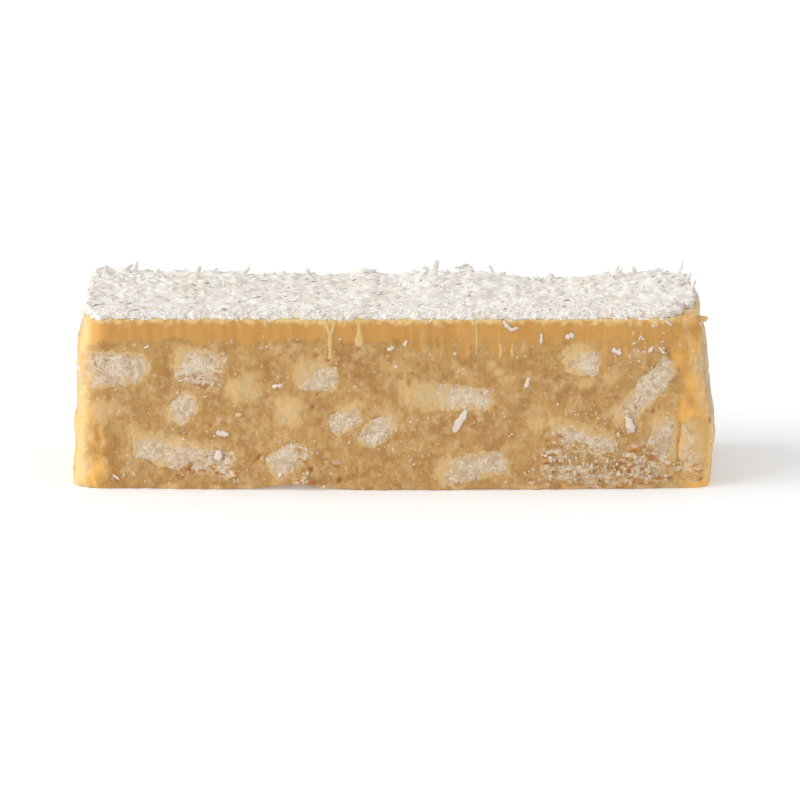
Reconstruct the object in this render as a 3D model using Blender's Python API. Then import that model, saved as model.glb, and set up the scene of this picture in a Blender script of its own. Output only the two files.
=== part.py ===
"""A bar of caramel slice: snapped biscuit set in caramel, then caramel icing, then desiccated coconut.

Metres, +Z up. The bar lies along X and rests on Z = 0, and -Y is the cut side that faces the camera.
Each layer starts as a plain block that as_cut() bends into the real, uneven bar. The biscuit pieces are
cut from that bent block, so that each is flush with the knife's cut, and lie in pockets of the base.
"""
import math
import random

import bmesh
import bpy
from mathutils import Matrix, Vector, noise

MM = 0.001

# The block before it is bent
LENGTH = 119.0 * MM
DEPTH = 41.6 * MM
BASE_TOP = 27.9 * MM
ICING_TOP = 32.5 * MM
COCONUT_TOP = 34.1 * MM
CORNER = 3.0 * MM
CORNER_SEGMENTS = 3
GAP = 0.3 * MM

# How far apart the planes are that divide the blocks
BASE_STEP = Vector((3.3, 4.2, 2.8)) * MM
ICING_STEP = Vector((3.3, 4.2, 2.3)) * MM
COCONUT_STEP = Vector((2.4, 2.4, 2.0)) * MM

# The knife's cuts. The long ones bow along the bar, by so much at the foot and at the top
FRONT_BOWS = (2.2 * MM, 0.5 * MM)
BACK_BOWS = (-0.8 * MM, -1.2 * MM)

# How far each end stands out at a height: (height, out). The caramel slumps below the icing
LEFT_END = ((0, 0.7), (2, 1.2), (5, 0.7), (8, 0.5), (11.5, 0.9), (15, 0.2), (27, 0.2), (30.5, -0.9), (34, -1.3))
RIGHT_END = ((0, 0.8), (5, 1.1), (9.5, 2), (14, 1), (20, 0.3), (27, 0.2), (30, -1.8), (34, -0.4))

# How the ends are cut back at the bar's corners: (how far at the top, along how much of the end)
LEFT_FRONT_CHAMFER = (1.4 * MM, 8.0 * MM)
RIGHT_FRONT_CHAMFER = (5.2 * MM, 15.0 * MM)
BACK_CHAMFER = (1.8 * MM, 15.0 * MM)
FOOT_CHAMFER = 0.15

# Where the top's back edge slumps
DIP_PLACE = 29.0 * MM
DIP_WIDTH = 24.0 * MM
DIP_DEPTH = 1.1 * MM

# Relief of the cuts, and of the bar's lower edge
LUMP_SIZE = 7.0 * MM
LUMP_HEIGHT = 0.55 * MM
NUB_SIZE = 3.1 * MM
NUB_HEIGHT = 0.3 * MM
WAVE_SIZE = 11.0 * MM
WAVE_HEIGHT = 0.7 * MM
RIM = 4.0 * MM
FOOT_LIFT = 0.35 * MM
NOTCH_PLACE = -18.7 * MM
NOTCH_WIDTH = 12.0 * MM
NOTCH_HEIGHT = 1.1 * MM

# Snapped biscuit
PIECE_SIDES = 8
PIECE_PROUD = 4.0 * MM
PIECE_TAPER = 0.72
PIECE_SQUARENESS = 4.0

# On the cut in front: (name, along, up, length, thickness, tilt in degrees, depth into the bar)
FRONT_PIECES = (
    ("corner_left", -54.4, 22.8, 19.0, 7.2, 1, 9.0),
    ("upper_left", -36.4, 23.1, 10.9, 7.6, -14, 9.0),
    ("wedge_left", -39.6, 15.6, 6.5, 6.0, 38, 6.0),
    ("soft_left", -28.2, 19.2, 5.2, 4.2, 20, 5.0),
    ("soft_middle", -20.1, 15.0, 4.6, 4.6, 8, 5.0),
    ("upper_middle", -14.1, 21.3, 8.3, 5.6, -6, 8.0),
    ("pair_left", -9.1, 13.3, 7.5, 4.6, 28, 8.0),
    ("pair_right", -2.9, 11.4, 8.8, 5.2, 32, 9.0),
    ("long_low", -40.0, 6.6, 23.8, 6.0, -13, 9.0),
    ("low_middle", -19.7, 6.2, 10.3, 5.4, 27, 8.0),
    ("long_middle", 11.0, 17.7, 17.6, 5.0, -6, 9.0),
    ("low_right", 14.9, 4.4, 14.2, 5.3, 8, 9.0),
    ("upper_right", 35.4, 24.3, 8.2, 5.3, -8, 8.0),
    ("diagonal", 47.6, 18.4, 18.0, 5.4, 48, 8.0),
    ("broad_low", 35.6, 9.3, 15.6, 5.0, -15, 9.0),
    ("crumbled_low", 35.6, 3.1, 16.6, 3.9, -4, 7.0),
    ("upright_right", 49.9, 8.4, 12.6, 5.2, 76, 8.0),
    ("corner_right", 56.6, 7.6, 12.8, 4.8, 88, 7.0),
)
RIGHT_PIECES = (
    ("end_upper", -6.0, 22.4, 9.5, 4.8, 24, 8.0),
    ("end_middle", 4.5, 12.4, 14.0, 4.8, -32, 9.0),
    ("end_low", 0.0, 4.0, 8.0, 4.4, 6, 8.0),
)
LEFT_PIECES = (
    ("end_low", 4.5, 6.4, 12.0, 4.9, 16, 9.0),
    ("end_middle", -6.2, 14.4, 9.5, 4.6, -38, 8.0),
    ("end_upper", 3.5, 22.0, 8.5, 5.0, -9, 8.0),
)

# The back, which the photograph doesn't show, gets pieces of the same sizes by a rule
BACK_COUNT = 14
BACK_LENGTHS = (6.0, 19.0)
BACK_THICKNESSES = (4.4, 6.0)
BACK_DEPTH = 9.0
BACK_MARGIN = 2.2
BACK_SEED = 11
TILTS = (-55.0, 55.0)

# Coconut
COCONUT_BUMP = 0.42 * MM
COCONUT_BUMP_SIZE = 2.3 * MM
COCONUT_RIM = 0.45 * MM
FLAKE_COUNT = 120
FLAKE_ROOM = 4.5 * MM
FLAKE_LENGTHS = (2.4 * MM, 4.6 * MM)
FLAKE_WIDTHS = (0.9 * MM, 1.8 * MM)
FLAKE_THICKNESS = 0.4 * MM
FLAKE_PITCHES = (14.0, 52.0)
FLAKE_ROOT = 0.25 * MM
FLAKE_SEED = 5

# Flakes that fell on the cut in front: (along, up, length, width, turn in degrees)
FALLEN_FLAKES = (
    (12.3, 13.2, 4.9, 1.9, 62),
    (-32.4, 11.2, 2.4, 1.4, -12),
    (-22.0, 19.9, 2.0, 1.3, 5),
    (24.8, 20.4, 2.1, 1.1, 70),
)

# A stub of icing that the knife drew out at the right end: middle and size
ICING_STUB = Vector((57.8, -8.6, 30.1)) * MM
ICING_STUB_SIZE = Vector((3.4, 1.3, 1.2)) * MM

CARAMEL = ("caramel", (0.62, 0.36, 0.12), 0.38)
ICING = ("caramel_icing", (0.60, 0.31, 0.09), 0.34)
BISCUIT = ("biscuit", (0.72, 0.58, 0.38), 0.85)
COCONUT = ("coconut", (0.86, 0.84, 0.79), 0.75)

UP = Vector((0, 0, 1))


def smooth(value):
    """0 below 0, 1 above 1, and an even S between them."""
    t = min(max(value, 0.0), 1.0)
    return t * t * (3 - 2 * t)


def bell(distance, width):
    return math.exp(-((distance / width) ** 2))


def blend(ends, share):
    return ends[0] + (ends[1] - ends[0]) * share


def along_profile(profile, height):
    """How far out an end profile is at a height, in metres: an even S from each point to the next."""
    for (low, out), (high, further) in zip(profile, profile[1:]):
        if height < high * MM:
            return blend((out, further), smooth((height / MM - low) / (high - low))) * MM
    return profile[-1][1] * MM


def relief(a, b, place):
    """Height of a cut's lumps at (a, b) on it; place tells one cut from the next."""
    lumps = noise.noise(Vector((a / LUMP_SIZE, b / LUMP_SIZE, place)))
    nubs = noise.noise(Vector((a / NUB_SIZE, b / NUB_SIZE, place + 20)))
    calm = 1 - 0.65 * smooth((b - BASE_TOP) / (2 * MM) + 0.5)
    return (LUMP_HEIGHT * lumps + NUB_HEIGHT * nubs) * calm


def cut_back(chamfer, distance, z):
    """How much the end loses at a distance from the long cut. It loses least at the foot."""
    most, reach = chamfer
    share = blend((FOOT_CHAMFER, 1), smooth(z / ICING_TOP))
    return most * share * max(0.0, 1 - distance / reach) ** 1.5


def end_out(side, y, z):
    """How far the end of the bar at this side stands out from the plain block's."""
    profile, chamfer = (RIGHT_END, RIGHT_FRONT_CHAMFER) if side > 0 else (LEFT_END, LEFT_FRONT_CHAMFER)
    out = along_profile(profile, z) + relief(y, z, 3.0 * side)
    out -= cut_back(chamfer, DEPTH / 2 + y, z)
    return out - cut_back(BACK_CHAMFER, DEPTH / 2 - y, z) * (side > 0)


def cut_out(side, x, z):
    """How far the long cut at this side stands out from the plain block's: side is -1 in front."""
    along = 2 * x / LENGTH
    bow = blend(FRONT_BOWS if side < 0 else BACK_BOWS, smooth(z / ICING_TOP))
    return bow * (1 - along * along) + relief(x, z, 7.0 + 2 * side)


def near_rim(x, y):
    """1 at the edge of the bar as seen from above, 0 from RIM inward."""
    inset = min(LENGTH / 2 - abs(x), DEPTH / 2 - abs(y))
    return smooth(1 - inset / RIM)


def foot_lift(x, y):
    """How far the bar's lower edge hangs clear of what it stands on. It is 0 away from the edge."""
    lift = FOOT_LIFT * max(0.0, noise.noise(Vector((x / LUMP_SIZE, y / LUMP_SIZE, 31))))
    if y < 0:
        lift += NOTCH_HEIGHT * bell(x - NOTCH_PLACE, NOTCH_WIDTH / 2)
    return lift * near_rim(x, y)


def wave(x, y):
    """The uneven line between the base and the icing, where it shows."""
    return WAVE_HEIGHT * noise.noise(Vector((x / WAVE_SIZE, y / WAVE_SIZE, 43))) * near_rim(x, y)


def dip(x, y):
    """How far the back edge of the top has slumped."""
    return DIP_DEPTH * bell(x - DIP_PLACE, DIP_WIDTH) * near_rim(x, y) if y > 0 else 0


def as_cut(point):
    """Where a point of the plain block lies in the real bar."""
    x, y, z = point
    toward_end = smooth(abs(x) / (LENGTH / 8) - 3)
    toward_cut = smooth(abs(y) / (DEPTH / 4) - 1)
    side_x, side_y = math.copysign(1, x), math.copysign(1, y)
    high = smooth(z / BASE_TOP)
    joint = 1 - min(1.0, abs(z - BASE_TOP) / (2 * MM))
    return Vector(
        (
            x + side_x * end_out(side_x, y, z) * toward_end,
            y + side_y * cut_out(side_y, x, z) * toward_cut,
            z + foot_lift(x, y) * (1 - high) + wave(x, y) * joint - dip(x, y) * high,
        )
    )


def material(name, colour, roughness):
    found = bpy.data.materials.new(name)
    found.use_nodes = True
    shader = found.node_tree.nodes["Principled BSDF"]
    shader.inputs["Base Color"].default_value = (*colour, 1)
    shader.inputs["Roughness"].default_value = roughness
    shader.inputs["Metallic"].default_value = 0
    return found


def add_object(name, bm, collection, finish=None):
    mesh = bpy.data.meshes.new(name)
    bm.to_mesh(mesh)
    bm.free()
    made = bpy.data.objects.new(name, mesh)
    if finish is not None:
        mesh.materials.append(finish)
    collection.objects.link(made)
    return made


def box_mesh(middle, size):
    bm = bmesh.new()
    bmesh.ops.create_cube(bm, size=1)
    bmesh.ops.scale(bm, vec=size, verts=bm.verts)
    bmesh.ops.translate(bm, vec=middle, verts=bm.verts)
    return bm


def layer_block(low, high, step):
    """A plain layer from low to high with round upright edges, divided by planes a step apart."""
    size = Vector((LENGTH, DEPTH, high - low))
    middle = Vector((0, 0, (low + high) / 2))
    bm = box_mesh(middle, size)
    upright = [e for e in bm.edges if abs(e.verts[0].co.z - e.verts[1].co.z) > MM / 10]
    bmesh.ops.bevel(
        bm, geom=upright, offset=CORNER, segments=CORNER_SEGMENTS, profile=0.5, affect="EDGES"
    )
    for axis in range(3):
        count = max(1, round(size[axis] / step[axis]))
        normal = Vector((axis == 0, axis == 1, axis == 2))
        for k in range(1, count):
            place = middle + normal * size[axis] * (k / count - 0.5)
            everything = bm.verts[:] + bm.edges[:] + bm.faces[:]
            bmesh.ops.bisect_plane(bm, geom=everything, dist=MM / 1000, plane_co=place, plane_no=normal)
    return bm


def bend(bm, extra=None):
    """Moves each point to where as_cut, and then extra, puts it, and joins faces that stay flat."""
    for vert in bm.verts:
        plain = vert.co.copy()
        vert.co = as_cut(plain)
        if extra is not None:
            vert.co += extra(plain)
    bmesh.ops.triangulate(bm, faces=bm.faces)
    bmesh.ops.dissolve_limit(bm, angle_limit=math.radians(0.05), verts=bm.verts, edges=bm.edges)
    bmesh.ops.triangulate(bm, faces=bm.faces)


def broken_prism(length, thickness, depth, seed, grow=0.0):
    """A snapped bit of biscuit, its broad end at +Z. It reaches from PIECE_PROUD down to -depth."""
    rng = random.Random(seed)
    bm = bmesh.new()
    bmesh.ops.create_cone(
        bm,
        cap_ends=True,
        segments=PIECE_SIDES,
        radius1=PIECE_TAPER,
        radius2=1,
        depth=depth + PIECE_PROUD + grow,
    )
    nicks = [rng.uniform(0.84, 1.08) for _ in range(PIECE_SIDES)]
    for vert in bm.verts:
        angle = math.atan2(vert.co.y, vert.co.x)
        side = round(angle / math.tau * PIECE_SIDES) % PIECE_SIDES
        cosine, sine = abs(math.cos(angle)), abs(math.sin(angle))
        boxy = (cosine**PIECE_SQUARENESS + sine**PIECE_SQUARENESS) ** (-1 / PIECE_SQUARENESS)
        radius = math.hypot(vert.co.x, vert.co.y) * boxy * nicks[side]
        vert.co.x = (length / 2 * radius + grow) * math.cos(angle)
        vert.co.y = (thickness / 2 * radius + grow) * math.sin(angle)
        vert.co.z += (PIECE_PROUD - depth - grow) / 2
    return bm


def on_side(right, along, height, tilt):
    """The matrix that stands a prism on a side of the bar, its +Z outward. right points along the side."""
    outward = right.cross(UP)
    half = LENGTH / 2 if abs(outward.x) > 0.5 else DEPTH / 2
    place = right * along + UP * height + outward * half
    axes = Matrix((right, UP, outward)).transposed().to_4x4()
    return Matrix.Translation(place) @ axes @ Matrix.Rotation(math.radians(tilt), 4, "Z")


def boolean(target, operation, operand, solver="EXACT"):
    cut = target.modifiers.new(operation.lower(), "BOOLEAN")
    cut.operation = operation
    cut.solver = solver
    if isinstance(operand, bpy.types.Collection):
        cut.operand_type = "COLLECTION"
        cut.collection = operand
    else:
        cut.object = operand
    return cut


def apply_modifiers(target):
    """Gives the object the mesh that its modifiers make."""
    graph = bpy.context.evaluated_depsgraph_get()
    made = bpy.data.meshes.new_from_object(target.evaluated_get(graph))
    target.modifiers.clear()
    target.data = made


def keep_largest_shell(target):
    """Drops scraps, and the walls of hollows that a union sealed."""
    bm = bmesh.new()
    bm.from_mesh(target.data)
    left = set(bm.verts)
    shells = []
    while left:
        shell, edge = set(), [left.pop()]
        while edge:
            vert = edge.pop()
            shell.add(vert)
            near = {e.other_vert(vert) for e in vert.link_edges} & left
            left -= near
            edge.extend(near)
        shells.append(shell)
    largest = max(shells, key=len)
    loose = [v for v in bm.verts if v not in largest]
    bmesh.ops.delete(bm, geom=loose, context="VERTS")
    bm.to_mesh(target.data)
    bm.free()


def fuse(target, pieces):
    """Joins a collection of small pieces to the target and removes them."""
    boolean(target, "UNION", pieces)
    apply_modifiers(target)
    for piece in list(pieces.objects):
        bpy.data.objects.remove(piece)
    bpy.data.collections.remove(pieces)
    keep_largest_shell(target)


def new_collection(name, helper=False):
    made = bpy.data.collections.new(name)
    bpy.context.scene.collection.children.link(made)
    made.hide_render = helper
    return made


def back_pieces():
    """Biscuit sections for the back, drawn until BACK_COUNT of them lie clear of each other."""
    rng = random.Random(BACK_SEED)
    chosen = []
    while len(chosen) < BACK_COUNT:
        length = rng.uniform(*BACK_LENGTHS)
        thickness = rng.uniform(*BACK_THICKNESSES)
        tilt = rng.uniform(*TILTS)
        slant = abs(math.sin(math.radians(tilt)))
        rise = (length * slant + thickness * (1 - slant)) / 2 + BACK_MARGIN / 2
        reach = length / 2 + BACK_MARGIN
        limit = LENGTH / MM / 2 - CORNER / MM - reach
        along = rng.uniform(-limit, limit)
        if 2 * rise > BASE_TOP / MM:
            continue
        height = rng.uniform(rise, BASE_TOP / MM - rise)
        spine = section_spine(along, height, length, thickness, tilt)
        if all(spines_clear(spine, thickness, other[0], other[1]) for other in chosen):
            piece = (along, height, length, thickness, tilt, BACK_DEPTH)
            chosen.append((spine, thickness, piece))
    return [(f"p{k + 1:02d}", *piece) for k, (_, _, piece) in enumerate(chosen)]


def section_spine(along, height, length, thickness, tilt):
    """Points down the middle of a section, for telling whether two sections meet."""
    half = max(0.0, (length - thickness) / 2)
    cosine, sine = math.cos(math.radians(tilt)), math.sin(math.radians(tilt))
    steps = [half * (k / 3 - 1) for k in range(7)]
    return [Vector((along + s * cosine, height + s * sine)) for s in steps]


def spines_clear(spine, thickness, other_spine, other_thickness):
    room = (thickness + other_thickness) * 0.6 + BACK_MARGIN / 2
    return all((a - b).length > room for a in spine for b in other_spine)


def add_biscuit(name, right, piece, seed, whole, parts, prisms, cutters, finish):
    """One piece of biscuit, cut from a copy of the bar, and the cutter for its pocket."""
    along, height, length, thickness, tilt, depth = piece
    place = on_side(right, along * MM, height * MM, tilt)
    shape = (length * MM, thickness * MM, depth * MM, seed)
    prism = add_object(name + "_prism", broken_prism(*shape), prisms)
    cutter = add_object(name + "_cutter", broken_prism(*shape, grow=GAP), cutters)
    for helper in (prism, cutter):
        helper.matrix_world = place
        helper.hide_render = True
        helper.display_type = "WIRE"
    biscuit = bpy.data.objects.new(name, whole.data.copy())
    biscuit.data.materials.clear()
    biscuit.data.materials.append(finish)
    parts.objects.link(biscuit)
    boolean(biscuit, "INTERSECT", prism)


def flake_mesh(length, width, thickness):
    """A shred of coconut: a thin bar that narrows to one end."""
    bm = box_mesh(Vector(), Vector((length, width, thickness)))
    for vert in bm.verts:
        if vert.co.x > 0:
            vert.co.y *= 0.55
    return bm


def flake_places(rng):
    """Places for the shreds, each FLAKE_ROOM or more from the rest."""
    half = Vector((LENGTH / 2 - FLAKE_WIDTHS[1], DEPTH / 2 - FLAKE_WIDTHS[1]))
    places = []
    while len(places) < FLAKE_COUNT:
        place = Vector((rng.uniform(-half.x, half.x), rng.uniform(-half.y, half.y)))
        if all((place - other).length > FLAKE_ROOM for other in places):
            places.append(place)
    return places


def add_flakes(core, pieces):
    """Shreds that stand out of the coconut, each rooted at the same depth in it."""
    rng = random.Random(FLAKE_SEED)
    for k, (x, y) in enumerate(flake_places(rng)):
        length, width = rng.uniform(*FLAKE_LENGTHS), rng.uniform(*FLAKE_WIDTHS)
        turn = Matrix.Rotation(rng.uniform(0, math.tau), 4, "Z")
        turn = turn @ Matrix.Rotation(-math.radians(rng.uniform(*FLAKE_PITCHES)), 4, "Y")
        bm = flake_mesh(length, width, FLAKE_THICKNESS)
        bmesh.ops.transform(bm, matrix=turn, verts=bm.verts)
        place = as_cut(Vector((x, y, ICING_TOP + GAP)))
        place.z += FLAKE_ROOT - min(v.co.z for v in bm.verts)
        bmesh.ops.translate(bm, vec=place, verts=bm.verts)
        add_object(f"flake_{k:03d}", bm, pieces)
    fuse(core, pieces)


def coconut_relief(plain):
    """The coconut's bumps on top and its ragged rim, on top of what as_cut does."""
    spot = plain / COCONUT_BUMP_SIZE
    bump = COCONUT_BUMP * noise.noise(spot) * smooth((plain.z - ICING_TOP) / MM - 0.4)
    edge = max(abs(plain.x) - LENGTH / 2, abs(plain.y) - DEPTH / 2)
    ragged = COCONUT_RIM * noise.noise(spot + Vector((9, 9, 0))) * smooth(1 + edge / MM)
    outward = Vector((plain.x / LENGTH, plain.y / DEPTH, 0)).normalized()
    return outward * ragged + UP * bump


def add_coconut(parts):
    bm = layer_block(ICING_TOP + GAP, COCONUT_TOP, COCONUT_STEP)
    bend(bm, coconut_relief)
    core = add_object("coconut", bm, parts, material(*COCONUT))
    add_flakes(core, new_collection("shreds"))


def add_icing(parts):
    bm = layer_block(BASE_TOP + GAP, ICING_TOP, ICING_STEP)
    bend(bm)
    icing = add_object("icing", bm, parts, material(*ICING))
    stub = new_collection("icing_stub")
    add_object("stub", box_mesh(ICING_STUB, ICING_STUB_SIZE), stub)
    fuse(icing, stub)


def add_fallen_flakes(base, pieces):
    for k, (along, height, length, width, turn) in enumerate(FALLEN_FLAKES):
        bm = flake_mesh(length * MM, width * MM, FLAKE_THICKNESS)
        place = on_side(Vector((1, 0, 0)), along * MM, height * MM, turn)
        surface = cut_out(-1, along * MM, height * MM)
        place = place @ Matrix.Translation(Vector((0, 0, surface + FLAKE_THICKNESS / 4)))
        bmesh.ops.transform(bm, matrix=place, verts=bm.verts)
        add_object(f"fallen_{k}", bm, pieces)
    fuse(base, pieces)


def add_base_and_biscuit(parts):
    """The caramel base with its pockets, and the biscuit in them."""
    bm = layer_block(0, BASE_TOP, BASE_STEP)
    bend(bm)
    base = add_object("caramel_base", bm, parts, material(*CARAMEL))
    finish = material(*BISCUIT)
    prisms = new_collection("biscuit_prisms", helper=True)
    cutters = new_collection("pocket_cutters", helper=True)
    whole = bpy.data.objects.new("whole_base", base.data.copy())
    sides = (
        ("front", Vector((1, 0, 0)), FRONT_PIECES),
        ("right", Vector((0, 1, 0)), RIGHT_PIECES),
        ("back", Vector((-1, 0, 0)), back_pieces()),
        ("left", Vector((0, -1, 0)), LEFT_PIECES),
    )
    for number, (side, right, pieces) in enumerate(sides):
        for k, (label, *piece) in enumerate(pieces):
            name = f"biscuit_{side}_{label}"
            seed = 100 * number + k
            add_biscuit(name, right, piece, seed, whole, parts, prisms, cutters, finish)
    bpy.data.objects.remove(whole)
    add_fallen_flakes(base, new_collection("fallen_flakes"))
    boolean(base, "DIFFERENCE", cutters)


def centre(parts):
    """Slides every object so that the middle of the bar's footprint is at the origin."""
    bpy.context.view_layer.update()
    graph = bpy.context.evaluated_depsgraph_get()
    points = [
        found.matrix_world @ vert.co
        for found in parts.objects
        for vert in found.evaluated_get(graph).data.vertices
    ]
    shift = Vector(
        [-(min(p[axis] for p in points) + max(p[axis] for p in points)) / 2 for axis in range(2)]
        + [-min(p.z for p in points)]
    )
    for found in bpy.data.objects:
        found.matrix_world = Matrix.Translation(shift) @ found.matrix_world


def main():
    for old in list(bpy.data.objects):
        bpy.data.objects.remove(old)
    parts = new_collection("caramel_slice")
    add_base_and_biscuit(parts)
    add_icing(parts)
    add_coconut(parts)
    centre(parts)


main()
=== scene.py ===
"""The looks of a bar of caramel slice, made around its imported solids.

Metres, +Z up. The bar lies along X on Z = 0, and the camera faces its front cut, which looks toward -Y.
Rays sample the solids' sides on a fine grid round the bar. The caramel, the icing and each piece of
biscuit get their own relief on that grid, and the coconut is a mat with shreds on it. Places on the
front are (along, up): along X from the middle, and up from the table. These places, the tables and the
sizes of noise and of shreds are in millimetres.
"""
import math

import bmesh
import bpy
import numpy as np
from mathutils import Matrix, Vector, noise
from mathutils.bvhtree import BVHTree


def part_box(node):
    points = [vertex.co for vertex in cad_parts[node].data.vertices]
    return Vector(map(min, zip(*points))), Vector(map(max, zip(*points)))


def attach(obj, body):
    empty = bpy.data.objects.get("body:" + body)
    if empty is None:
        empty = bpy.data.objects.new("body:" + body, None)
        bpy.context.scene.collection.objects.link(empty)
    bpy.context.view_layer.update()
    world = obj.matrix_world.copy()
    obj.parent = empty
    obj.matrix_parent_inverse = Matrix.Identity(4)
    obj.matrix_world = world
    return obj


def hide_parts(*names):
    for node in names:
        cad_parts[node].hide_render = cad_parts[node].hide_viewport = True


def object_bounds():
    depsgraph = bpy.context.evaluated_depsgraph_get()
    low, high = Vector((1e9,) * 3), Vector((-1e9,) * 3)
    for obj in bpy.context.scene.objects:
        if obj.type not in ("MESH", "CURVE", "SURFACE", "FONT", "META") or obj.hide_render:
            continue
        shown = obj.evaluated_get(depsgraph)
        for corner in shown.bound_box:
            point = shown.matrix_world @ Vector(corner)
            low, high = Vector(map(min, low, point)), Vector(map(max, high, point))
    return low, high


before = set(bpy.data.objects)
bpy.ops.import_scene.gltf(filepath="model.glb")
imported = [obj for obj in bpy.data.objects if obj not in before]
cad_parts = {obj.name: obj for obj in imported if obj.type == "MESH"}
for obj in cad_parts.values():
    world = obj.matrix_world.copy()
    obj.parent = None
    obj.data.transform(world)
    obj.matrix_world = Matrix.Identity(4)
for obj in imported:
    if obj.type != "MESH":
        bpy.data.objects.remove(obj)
CAD_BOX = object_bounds()
BISCUITS = [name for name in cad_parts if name.startswith("biscuit_")]

MM = 0.001
UP = np.array((0.0, 0.0, 1.0))

# The grid round the bar: its outline, the spacing of its points, and how rays find the sides
CORNER = 6 * MM
CORNER_COLUMNS = 28
EDGE_INSET = 1.2 * MM
FRONT_STEP = 0.22 * MM
OTHER_STEP = 0.5 * MM
ROW_STEP = 0.27 * MM
CAST_FROM = 8 * MM
ABOVE_ALL = 100 * MM
EDGE_GAP = 0.08 * MM
POCKET_DEPTH = 0.8 * MM
STANDS_OUT = 0.6 * MM
SMOOTHING = 1.1 * MM

# Where biscuit and caramel meet: how far in from the outline of the biscuit's solid
MEETING = -0.1 * MM
# How far the biscuit's surface runs on under the caramel, and how deep its pocket in the caramel is
BURIED = 0.9 * MM
POCKET = 1.6 * MM
FRONT_BISCUIT_STEP = 0.17 * MM
OTHER_BISCUIT_STEP = 0.28 * MM
# The size of a piece of biscuit at its inner end
INNER_SHARE = 0.79
# How ragged the outline of the biscuit is: most, size of the noise, seed
RAGGED = ((0.45, 2.6, 20), (0.28, 1.1, 21), (0.3, 0.6, 22))
# Points of the grid round a piece of biscuit that its halo may reach
HALO_ROOM = 16
# The inset of points that no biscuit is near
NO_BISCUIT = -4 * MM
# How far the caramel and the icing run on behind each other
OVERLAP = 0.5 * MM

FRONT_PIECE = "biscuit_front_"
# How caramel soaked into the front pieces: its direction on the cut in degrees, and share of the piece
SOAKED = {
    "corner_left": (180, 0.26), "upper_left": (130, 0.18), "wedge_left": (200, 0.08),
    "soft_left": (90, 1.3), "soft_middle": (90, 1.3), "upper_middle": (130, 0.34),
    "pair_left": (100, 0.14), "pair_right": (60, 0.12), "long_low": (84, 0.2),
    "low_middle": (250, 0.08), "long_middle": (178, 0.42), "low_right": (170, 0.16),
    "upper_right": (110, 0.28), "diagonal": (215, 0.16), "broad_low": (80, 0.16),
    "crumbled_low": (0, 0.1), "upright_right": (110, 0.12), "corner_right": (20, 0.3),
}
# The front pieces that show a browned edge, and its direction
TOASTED = {"upper_left": -75, "long_low": -62, "low_middle": -20, "broad_low": -110, "crumbled_low": 90}
# Soft lumps that only show through the caramel: along, up, half length, half height, strength
LUMPS = (
    (51.8, 9.5, 1.6, 4.5, 0.8), (-58, 4.4, 1.1, 1.7, 1), (-55.2, 15, 1.6, 1.9, 0.8),
    (40.3, 21.2, 1.2, 1.5, 0.6), (36, 20.4, 1.3, 1, 0.6), (57, 23, 1.2, 1.6, 0.7),
    (26.8, 12.8, 1.6, 1.3, 0.6), (0.2, 23.3, 2.6, 0.8, 0.5), (-21.5, 10, 1.1, 1, 0.35),
    (4, 8.6, 1.4, 0.8, 0.3), (18.2, 23.9, 0.8, 0.8, 0.6), (19.5, 22.5, 0.9, 0.7, 0.7),
    (21.4, 21.2, 1.2, 0.5, 0.6), (-26, 22, 1.6, 0.8, 0.3), (-45, 17, 1.5, 0.7, 0.25),
)
# Holes in the cut: along, up, radius, depth
PITS = (
    (-25.2, 6.3, 0.55, 0.9), (-15.8, 4.1, 0.5, 0.7), (-10.4, 2.1, 0.5, 0.6), (-15.5, 15.8, 0.4, 0.5),
    (-34.6, 12.4, 0.4, 0.5), (53.7, 9, 0.5, 0.4), (48.6, 14.8, 0.4, 0.5), (-40.8, 3, 0.45, 0.4),
    (-37.5, 7, 0.4, 0.4), (-14.5, 25.8, 0.5, 0.5), (-12.6, 24.8, 0.4, 0.5), (-18, 21.8, 0.4, 0.4),
)
RANDOM_PITS = 50
# Upright grooves: along, lowest and highest place, half width, depth
GROOVES = ((53.6, 2, 18.5, 0.45, 0.55), (9.8, 3, 8, 0.3, 0.3), (-55.5, 6, 13, 0.5, 0.35))
# Where biscuit crumbled into the caramel: along, up, half length, half height
CRUMBLED = (
    (42, 3.4, 13, 3.4), (29, 7, 1.8, 2.6), (46.5, 6, 3, 3), (-17, 1.8, 3, 1.4), (-30.5, 3.4, 3.4, 1.8),
    (-11.6, 4.6, 1.6, 1.6), (56.5, 3, 2, 1.6),
)
# Ridges of icing that a knife drew down the front: stations of along, up and half width
DRIPS = (
    ((-13.2, 32.7, 0.5), (-12.8, 31.2, 0.36), (-12.3, 29.6, 0.32)),
    ((-11, 32.7, 0.5), (-11.5, 31.2, 0.34), (-12, 29.6, 0.32)),
    ((-12.1, 30.2, 0.34), (-12.2, 28.2, 0.44), (-12.1, 26.4, 0.32), (-12.2, 24.8, 0.42)),
    ((-6.8, 32.6, 0.5), (-6.75, 31, 0.3), (-6.7, 29.6, 0.5), (-6.7, 28.4, 0.95), (-6.7, 27.3, 0.5)),
    ((15.2, 31.6, 0.14), (15.3, 28.6, 0.22), (15.2, 25.7, 0.12)),
    ((19.7, 28, 0.2), (19.8, 26.4, 0.3), (19.7, 25, 0.2)),
    ((22, 28, 0.2), (21.9, 26.6, 0.28), (22.1, 25.2, 0.18)),
)
# How far a ridge stands out and how thin its ends are, as shares of its half width
DRIP_DEPTH = 0.13
DRIP_END = 0.4
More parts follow.
